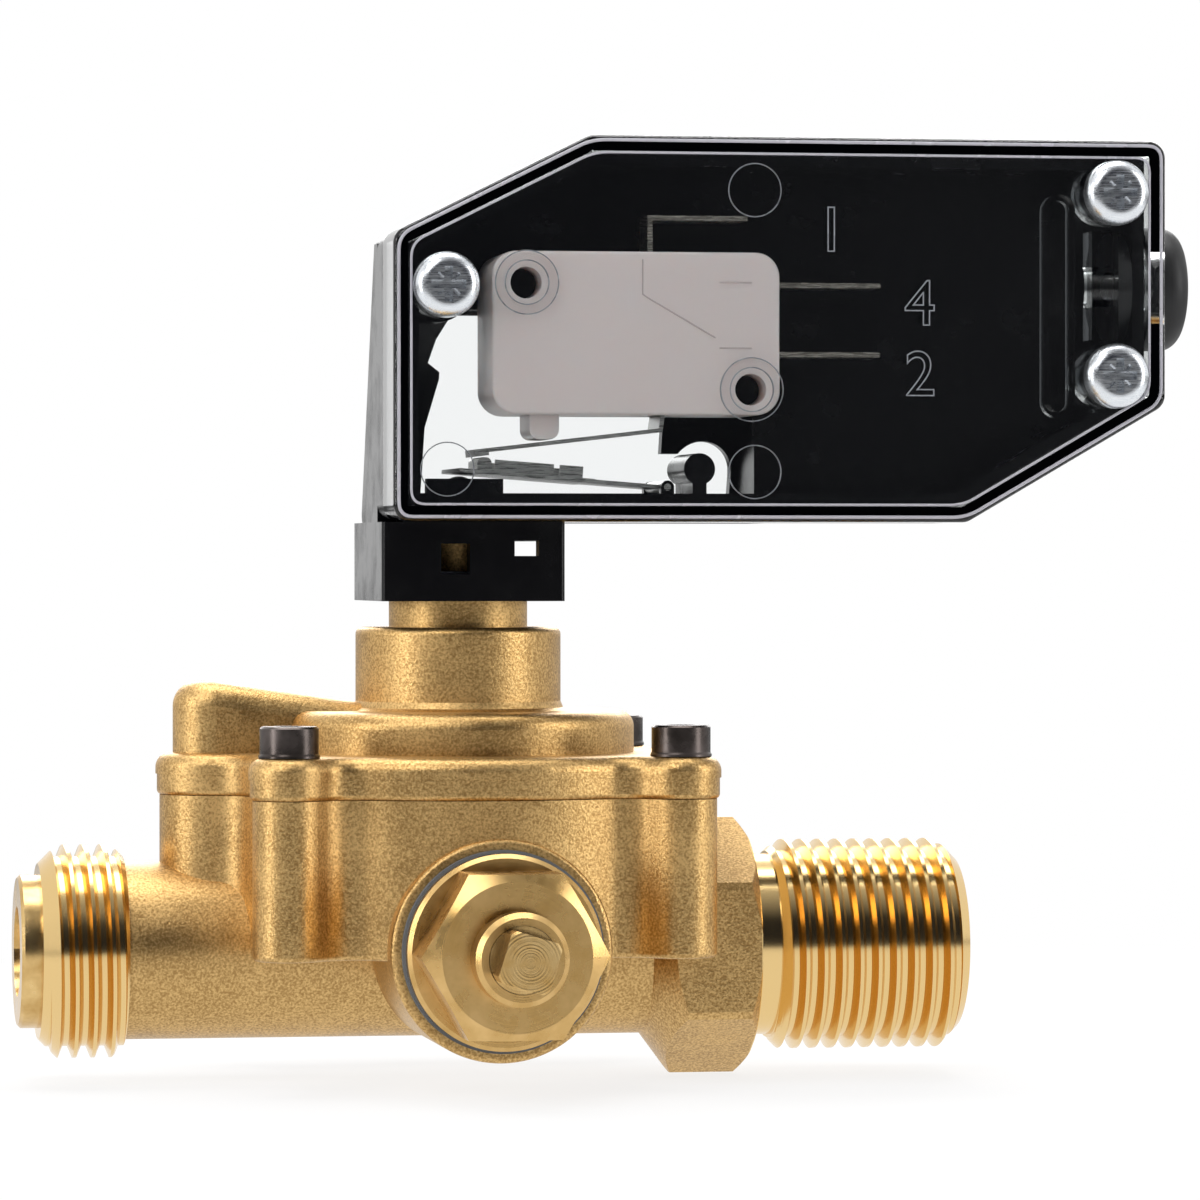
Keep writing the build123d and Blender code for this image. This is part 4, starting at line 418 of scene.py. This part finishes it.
def finishes() -> dict[str, Finish]:
    """Lists the finish of each CAD node.

    Returns:
        Node name to finish.
    """
    # Shot-blasted casting: dull gold, with grains that catch the light. Threads and port faces are turned
    # bright.
    body = BlastedBrass("brass_cast_blasted_body", "DCB77A", 0.40, 1.0,
                        bright_from_mm=28.5, bright_below_mm=-33.3)
    cover = BlastedBrass("brass_cast_blasted_cover", "DCB77A", 0.40, 1.0)
    # Bar brass, turned and milled: smoother than the casting, with highlights drawn out by fine rings.
    nut = TurnedMetal("brass_turned_nut", "DDB87B", 0.27, 1.0, centre=(0.9, 0, 1))
    spindle = TurnedMetal("brass_turned_spindle", "E4C48A", 0.20, 1.0, centre=(0.9, 0, 1),
                          ring_mm=0.16, ring_depth_mm=0.01)
    nozzle = TurnedMetal("brass_turned_nozzle", "E7C689", 0.22, 1.0, axis=Axis.X)
    inner = TurnedMetal("brass_turned_inner", "DDB87B", 0.26, 1.0, axis=Axis.Z)
    # Burnished steel of the socket head screws: dark, with warm reflections from the brass.
    bolts = TurnedMetal("steel_burnished_screws", "645C59", 0.26, 1.0, second="3E3834", axis=Axis.Z)
    # Zinc plated steel: pale and slightly blue.
    zinc = RolledMetal("steel_zinc_screws", "F2F5F8", 0.27, 1.0, second="D5DAE0")
    # Stainless sheet and wire: neutral grey, with faint streaks from rolling or drawing.
    steel = RolledMetal("steel_rolled_sheet", "C9C9C7", 0.28, 1.0)
    # Silver plated brass strip: paler and warmer than the steel.
    silver = RolledMetal("brass_silvered_strip", "DCD6CC", 0.24, 1.0, second="B4AC9E")
    # Glass filled nylon: black, half gloss, with a fine texture and uneven handling marks.
    black = Moulding("nylon_moulded_black", "08080A", 0.20, texture_mm=0.12, texture_depth_mm=0.003,
                     gloss=0.2)
    # Polycarbonate: clear and glossy, with almost no texture.
    clear = Moulding("polycarbonate_clear", "FAFCFC", 0.01, texture_mm=2.0, texture_depth_mm=0.0003,
                     clear=1.0, mark_roughness=0.03)
    # Natural thermoplastic of the micro switch: milky, because light goes a millimetre deep.
    milky = Moulding("polyester_moulded_milky", "F0E4E2", 0.34, texture_depth_mm=0.002, scatter=0.6)
    # Moulded rubber: black, with broad and soft highlights.
    rubber = Moulding("rubber_moulded_black", "0E0E10", 0.48, texture_depth_mm=0.008)
    # Pressed fibre: flat grey, without highlights.
    fibre = Moulding("fibre_pressed_grey", "5E6369", 0.7, texture_depth_mm=0.02)
    groups = [
        (body, ["valve_body"]),
        (cover, ["valve_cover"]),
        (nut, ["gland_nut"]),
        (spindle, ["spindle", "throttle_plug"]),
        (nozzle, ["venturi_nozzle"]),
        (inner, ["gland_bush", "rod_nut"]),
        (bolts, ["cover_screws"]),
        (zinc, ["case_screws"]),
        (steel, ["push_rod", "upper_plate", "lower_plate", "return_spring", "retaining_ring", "housing_clip",
                 "lever_pin", "snap_spring", "switch_lever", "actuating_lever"]),
        (silver, ["terminal_common", "terminal_open", "terminal_closed", "contact_blade"]),
        (black, ["switch_base"]),
        (clear, ["clear_cover"]),
        (milky, ["microswitch_case", "microswitch_lid", "plunger"]),
        (rubber, ["cable_grommet", "channel_seal", "nozzle_seal", "stem_seal", "spindle_seal", "diaphragm"]),
        (fibre, ["gland_washer"]),
    ]
    return {node: finish for finish, nodes in groups for node in nodes}


def finish_nodes() -> dict[str, bpy.types.Material]:
    """Gives every CAD node its material.

    Returns:
        Finish name to Blender material.
    """
    made: dict[str, bpy.types.Material] = {}
    for name, finish in finishes().items():
        if finish.name not in made:
            made[finish.name] = finish.build()
        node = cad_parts[name]
        node.data.materials.clear()
        node.data.materials.append(made[finish.name])
    return made


def add_piece(name: str, mesh: bpy.types.Mesh, material: bpy.types.Material, body: str) -> None:
    """Puts a mesh in the scene as a piece that moves with a CAD body.

    Args:
        name: name of the piece.
        mesh: its mesh, in the row frame.
        material: its material.
        body: CAD body that it rides on.
    """
    piece = bpy.data.objects.new(name, mesh)
    bpy.context.scene.collection.objects.link(piece)
    mesh.materials.clear()
    mesh.materials.append(material)
    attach(piece, body)


def mesh_of(curve: bpy.types.Curve) -> bpy.types.Mesh:
    """Turns a curve into a mesh and removes the curve.

    Args:
        curve: curve or text data.

    Returns:
        Its mesh.
    """
    holder = bpy.data.objects.new(f"{curve.name}_holder", curve)
    bpy.context.scene.collection.objects.link(holder)
    bpy.context.view_layer.update()
    finished = holder.evaluated_get(bpy.context.evaluated_depsgraph_get())
    mesh = bpy.data.meshes.new_from_object(finished)
    bpy.data.objects.remove(holder)
    bpy.data.curves.remove(curve)
    return mesh


def beads(name: str, paths: list[list[tuple[float, float]]], y: float, radius: float,
          closed: bool) -> bpy.types.Mesh:
    """Makes fine round beads along paths in a plane parallel to the cover.

    Args:
        name: name of the curve they are made from.
        paths: corners of each path as x and z in mm, with x from the neck axis.
        y: place of the beads' centre in mm.
        radius: radius of a bead in mm.
        closed: whether each path returns to its start.

    Returns:
        One mesh of all the beads.
    """
    curve = bpy.data.curves.new(name, "CURVE")
    curve.dimensions = "3D"
    curve.bevel_depth = radius * MM
    curve.bevel_resolution = BEAD_STEPS
    curve.use_fill_caps = True
    for path in paths:
        spline = curve.splines.new("POLY")
        spline.points.add(len(path) - 1)
        spline.use_cyclic_u = closed
        for point, (x, z) in zip(spline.points, path):
            point.co = (*place(x, y, z), 1.0)
    return mesh_of(curve)


@dataclass
class CoverNumerals:
    """Plain numerals moulded in fine outline on the clear cover, one beside each terminal."""

    front_y: float = -14.0
    height: float = 4.4
    bead_r: float = 0.07
    capital_share: float = 0.7
    bead_steps: int = 2
    marks: list[tuple[str, float, float]] = field(
        default_factory=lambda: [("1", 34.8, 70.35), ("4", 43.7, 63.2), ("2", 43.7, 56.3)])

    def build(self) -> None:
        """Makes one piece per numeral."""
        # Frosted polycarbonate: the outline breaks the clear face's reflections.
        material = Moulding("polycarbonate_frosted_numerals", "8E9298", 0.25, clear=0.3).build()
        for text, x, z in self.marks:
            curve = bpy.data.curves.new(f"numeral_{text}_curve", "FONT")
            curve.body = text
            curve.size = self.height * MM / self.capital_share
            curve.align_x = "CENTER"
            curve.align_y = "CENTER"
            curve.fill_mode = "NONE"
            curve.bevel_depth = self.bead_r * MM
            curve.bevel_resolution = self.bead_steps
            mesh = mesh_of(curve)
            for vertex in mesh.vertices:
                upright = Vector((vertex.co.x, -vertex.co.z, vertex.co.y))
                vertex.co = place(x, self.front_y, z) + upright
            add_piece(f"numeral_{text}", mesh, material, "valve")


@dataclass
class CoverRimHighlights:
    """Painted highlight: two fine pale beads round the face of the clear cover, put where its wall catches
    the light.
    """

    front_y: float = -14.0
    corners: list[tuple[float, float]] = field(default_factory=lambda: [
        (-8.25, 42.0), (48.5, 42.0), (68.5, 53.6), (68.5, 79.6), (11.0, 79.6), (-8.25, 70.0)])
    # Inset from the edge, radius, and depth of the centre behind the face, in mm.
    lines: list[tuple[float, float, float]] = field(
        default_factory=lambda: [(0.5, 0.17, 0.07), (1.7, 0.13, 0.02)])
    corner_cut: float = 1.4
    corner_steps: int = 6

    def build(self) -> None:
        """Makes one piece per bead."""
        # Painted highlight: pale polycarbonate beads that stand in for the line of light that the edge
        # gathers.
        material = Moulding("polycarbonate_rim_painted_highlight", "C6C4CC", 0.22, clear=0.3).build()
        for number, (inset, radius, back) in enumerate(self.lines, 1):
            path = self.rounded(self.inner(inset))
            mesh = beads(f"rim_{number}_curve", [path], self.front_y + back, radius, True)
            add_piece(f"cover_rim_{number}", mesh, material, "valve")

    def inner(self, inset: float) -> list[Vector]:
        """Moves every side of the outline inwards.

        Args:
            inset: distance in mm.

        Returns:
            Corners of the smaller outline, counter-clockwise.
        """
        points = [Vector(corner) for corner in self.corners]
        sides = []
        for start, end in zip(points, points[1:] + points[:1]):
            along = (end - start).normalized()
            sides.append((start + Vector((-along.y, along.x)) * inset, along))
        made = []
        for (first, u), (second, v) in zip(sides[-1:] + sides[:-1], sides):
            gap = second - first
            share = (gap.x * v.y - gap.y * v.x) / (u.x * v.y - u.y * v.x)
            made.append(first + u * share)
        return made

    def rounded(self, corners: list[Vector]) -> list[tuple[float, float]]:
        """Rounds the corners of an outline.

        Args:
            corners: its corners.

        Returns:
            Points along the rounded outline.
        """
        made = []
        neighbours = zip(corners[-1:] + corners[:-1], corners, corners[1:] + corners[:1])
        for before, corner, after in neighbours:
            start = corner + (before - corner).normalized() * self.corner_cut
            end = corner + (after - corner).normalized() * self.corner_cut
            for step in range(self.corner_steps + 1):
                t = step / self.corner_steps
                point = start * (1 - t) ** 2 + corner * 2 * t * (1 - t) + end * t ** 2
                made.append((point.x, point.y))
        return made


@dataclass
class CoverRingHighlights:
    """Painted highlight: fine pale beads put where the round marks and the hold-down rings of the clear
    cover catch the light.
    """

    inside_y: float = -12.6
    bead_r: float = 0.06
    marks: list[tuple[float, float]] = field(
        default_factory=lambda: [(-2.9, 47.1), (27.4, 74.4), (27.4, 46.9)])
    mark_r: float = 2.6
    holds: list[tuple[float, float]] = field(default_factory=lambda: [(4.9, 65.25), (27.1, 54.95)])
    hold_r: tuple[float, float] = (3.1, 2.15)
    steps: int = 64

    def build(self) -> None:
        """Makes one piece of the marks' beads and one of the rings'."""
        # Painted highlight on the polycarbonate edges, greyer than the rim's as painted shade, because it
        # lies behind the clear face.
        material = Moulding("polycarbonate_edges_painted_highlight", "A9ABB2", 0.25, clear=0.3).build()
        rings = [self.circle(x, z, self.mark_r) for x, z in self.marks]
        mesh = beads("cover_marks_curve", rings, self.inside_y, self.bead_r, True)
        add_piece("cover_mark_highlights", mesh, material, "valve")
        rings = [self.circle(x, z, radius) for x, z in self.holds for radius in self.hold_r]
        mesh = beads("cover_rings_curve", rings, self.inside_y, self.bead_r, True)
        add_piece("cover_ring_highlights", mesh, material, "valve")

    def circle(self, x: float, z: float, radius: float) -> list[tuple[float, float]]:
        """Lists points round a circle.

        Args:
            x, z: its centre in mm.
            radius: its radius in mm.

        Returns:
            The points.
        """
        turns = [2 * math.pi * step / self.steps for step in range(self.steps)]
        return [(x + radius * math.cos(turn), z + radius * math.sin(turn)) for turn in turns]


@dataclass
class SwitchDiagram:
    """Contact diagram moulded in fine raised lines on the face of the micro switch."""

    face_y: float = -12.0
    line_r: float = 0.09
    sunk_share: float = 0.4
    lines: list[list[tuple[float, float]]] = field(default_factory=lambda: [
        [(16.4, 67.6), (16.4, 64.2), (17.0, 63.8)], [(17.0, 63.8), (23.6, 60.0)],
        [(24.0, 65.4), (27.2, 65.4)], [(24.0, 59.0), (27.2, 59.0)]])

    def build(self) -> None:
        """Makes one piece of all the lines."""
        y = self.face_y + self.line_r * self.sunk_share
        mesh = beads("switch_diagram_curve", self.lines, y, self.line_r, False)
        # The same thermoplastic with painted shade: a little darker, so that the lines read as raised.
        material = Moulding("polyester_lines_painted_shade", "CDBDBC", 0.4, texture_depth_mm=0.001).build()
        add_piece("switch_diagram", mesh, material, "valve")


@dataclass
class Camera:
    """Camera at the photograph's place: long lens, level with the case's foot and a little to the left."""

    yaw_deg: float = 9.5
    distance: float = 600.0
    side: float = 14.06
    height: float = 37.82
    focal_px: float = 6060.0
    frame_px: float = 1200.0
    horizon_px: float = 35.0
    sensor_mm: float = 36.0
    clip_m: tuple[float, float] = (0.01, 20.0)

    def build(self) -> None:
        """Adds the camera and makes it the scene's."""
        data = bpy.data.cameras.new("camera")
        data.sensor_width = self.sensor_mm
        data.lens = self.focal_px * self.sensor_mm / self.frame_px
        data.clip_start, data.clip_end = self.clip_m
        yaw = math.radians(self.yaw_deg)
        x = self.side * math.cos(yaw) - self.distance * math.sin(yaw)
        y = -self.side * math.sin(yaw) - self.distance * math.cos(yaw)
        camera = bpy.data.objects.new("camera", data)
        camera.location = place(x, y, self.height)
        pitch = math.atan(self.horizon_px / self.focal_px)
        camera.rotation_euler = (math.pi / 2 - pitch, 0.0, -yaw)
        bpy.context.scene.collection.objects.link(camera)
        bpy.context.scene.camera = camera


@dataclass
class Softbox:
    """Rectangular studio light that points at the object."""

    name: str
    at: tuple[float, float, float]
    size: tuple[float, float]
    power: float
    colour: str = "FFFFFF"
    target: tuple[float, float, float] = (0.0, 0.0, 20.0)

    def build(self) -> None:
        """Adds the light."""
        data = bpy.data.lights.new(self.name, "AREA")
        data.shape = "RECTANGLE"
        data.size = self.size[0] * MM
        data.size_y = self.size[1] * MM
        data.energy = self.power
        data.color = linear(self.colour)[:3]
        light = bpy.data.objects.new(self.name, data)
        light.location = place(*self.at)
        aim = place(*self.target) - light.location
        light.rotation_euler = aim.to_track_quat("-Z", "Y").to_euler()
        bpy.context.scene.collection.objects.link(light)


@dataclass
class Studio:
    """White surroundings, a pale floor lit from below, and soft boxes."""

    floor_z: float = -12.9
    floor_half: float = 3000.0
    surround: str = "808084"
    camera_side: str = "24262E"
    shadow_mm: tuple[float, float] = (60.0, 200.0)
    shadow_white: float = 0.8
    glow_mm: tuple[float, float] = (250.0, 700.0)
    far_glow: float = 0.1
    mirrored_room: tuple[float, float] = (-0.8, 0.1)
    room_behind_clear: tuple[float, float] = (-1.0, -0.7)
    boxes: list[Softbox] = field(default_factory=lambda: [
        Softbox("key_box", (-260, -400, 440), (320, 320), 1.3),
        Softbox("right_box", (460, -260, 160), (160, 420), 1.1),
        Softbox("left_strip", (-420, -160, 60), (90, 420), 0.9),
        Softbox("top_box", (0, 60, 520), (420, 300), 1.7),
        Softbox("back_box", (80, 520, 300), (500, 300), 2.2),
    ])

    def build(self) -> None:
        """Adds the floor, the lights and the world."""
        self.floor()
        for box in self.boxes:
            box.build()
        self.surroundings()

    def floor(self) -> None:
        """Adds the floor just under the lowest point of the object."""
        mesh = bpy.data.meshes.new("floor")
        shape = bmesh.new()
        half = self.floor_half * MM
        corners = ((-half, -half), (half, -half), (half, half), (-half, half))
        shape.faces.new([shape.verts.new((x, y, self.floor_z * MM)) for x, y in corners])
        shape.to_mesh(mesh)
        shape.free()
        floor = bpy.data.objects.new("floor", mesh)
        bpy.context.scene.collection.objects.link(floor)
        # Seamless paper, lit until it is nearly white.
        paper = Moulding("paper_seamless_white", "FAFAFA", 0.9, texture_mm=0.6, texture_depth_mm=0.002)
        material = paper.build()
        self.lit_through(material.node_tree)
        mesh.materials.append(material)

    def lit_through(self, tree: Tree) -> None:
        """Lights the paper from below, all white away from the object, with a soft shadow left under it.

        Args:
            tree: node tree of the paper.
        """
        path = add_node(tree, "ShaderNodeLightPath").outputs
        where = add_node(tree, "ShaderNodeTexCoord").outputs["Object"]
        away = calculate_vector(tree, "LENGTH", where)
        near, past = (edge * MM for edge in self.shadow_mm)
        white = map_range(tree, away, near, past, self.shadow_white, 1.0)
        direct = calculate(tree, "MULTIPLY", path["Is Camera Ray"], white)
        bounced = calculate(tree, "MAXIMUM", path["Is Transmission Ray"], path["Is Glossy Ray"])
        share = calculate(tree, "MAXIMUM", direct, bounced)
        near, past = (edge * MM for edge in self.glow_mm)
        far = map_range(tree, away, near, past, 1.0, self.far_glow)
        strength = mix_numbers(tree, path["Is Glossy Ray"], 1.0, far)
        glow = add_node(tree, "ShaderNodeEmission", {"Color": WHITE, "Strength": strength}).outputs[0]
        surface = tree.nodes["Principled BSDF"].outputs[0]
        mixed = add_node(tree, "ShaderNodeMixShader", {0: share, 1: surface, 2: glow}).outputs[0]
        tree.links.new(mixed, tree.nodes["Material Output"].inputs["Surface"])

    def surroundings(self) -> None:
        """Makes a world that is white to the camera.

        Reflections and clear plastic find it white behind the object and dark at the camera's side, as in a
        room with one lit wall. Everything else gets plain grey light from it.
        """
        world = bpy.data.worlds.new("studio")
        bpy.context.scene.world = world
        world.use_nodes = True
        tree = world.node_tree
        path = add_node(tree, "ShaderNodeLightPath").outputs
        way = add_node(tree, "ShaderNodeTexCoord").outputs["Generated"]
        ahead = add_node(tree, "ShaderNodeSeparateXYZ", {0: way}).outputs[1]
        mirrored = self.lit_from(tree, ahead, *self.mirrored_room)
        through = self.lit_from(tree, ahead, *self.room_behind_clear)
        colour = mix_colours(tree, path["Is Glossy Ray"], linear(self.surround), mirrored)
        colour = mix_colours(tree, path["Is Transmission Ray"], colour, through)
        colour = mix_colours(tree, path["Is Camera Ray"], colour, WHITE)
        tree.links.new(colour, tree.nodes["Background"].inputs["Color"])

    def lit_from(self, tree: Tree, ahead: Socket, dark: float, white: float) -> Socket:
        """Makes a room that is dark at the camera's side and white behind the object.

        Args:
            tree: node tree that gets the nodes.
            ahead: part of the direction that points away from the camera, from -1 to 1.
            dark, white: where the darkness ends and where full white starts.

        Returns:
            The colour in that direction.
        """
        return mix_colours(tree, map_range(tree, ahead, dark, white), linear(self.camera_side), WHITE)


def main() -> None:
    """Builds the scene."""
    logging.basicConfig(level=logging.INFO)
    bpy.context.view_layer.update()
    made = finish_nodes()
    LOG.info("%d finishes on %d nodes", len(made), len(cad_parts))
    CoverNumerals().build()
    CoverRimHighlights().build()
    CoverRingHighlights().build()
    SwitchDiagram().build()
    Studio().build()
    Camera().build()
    scene = bpy.context.scene
    scene.view_settings.view_transform = "Standard"


if __name__ == "__main__":
    main()
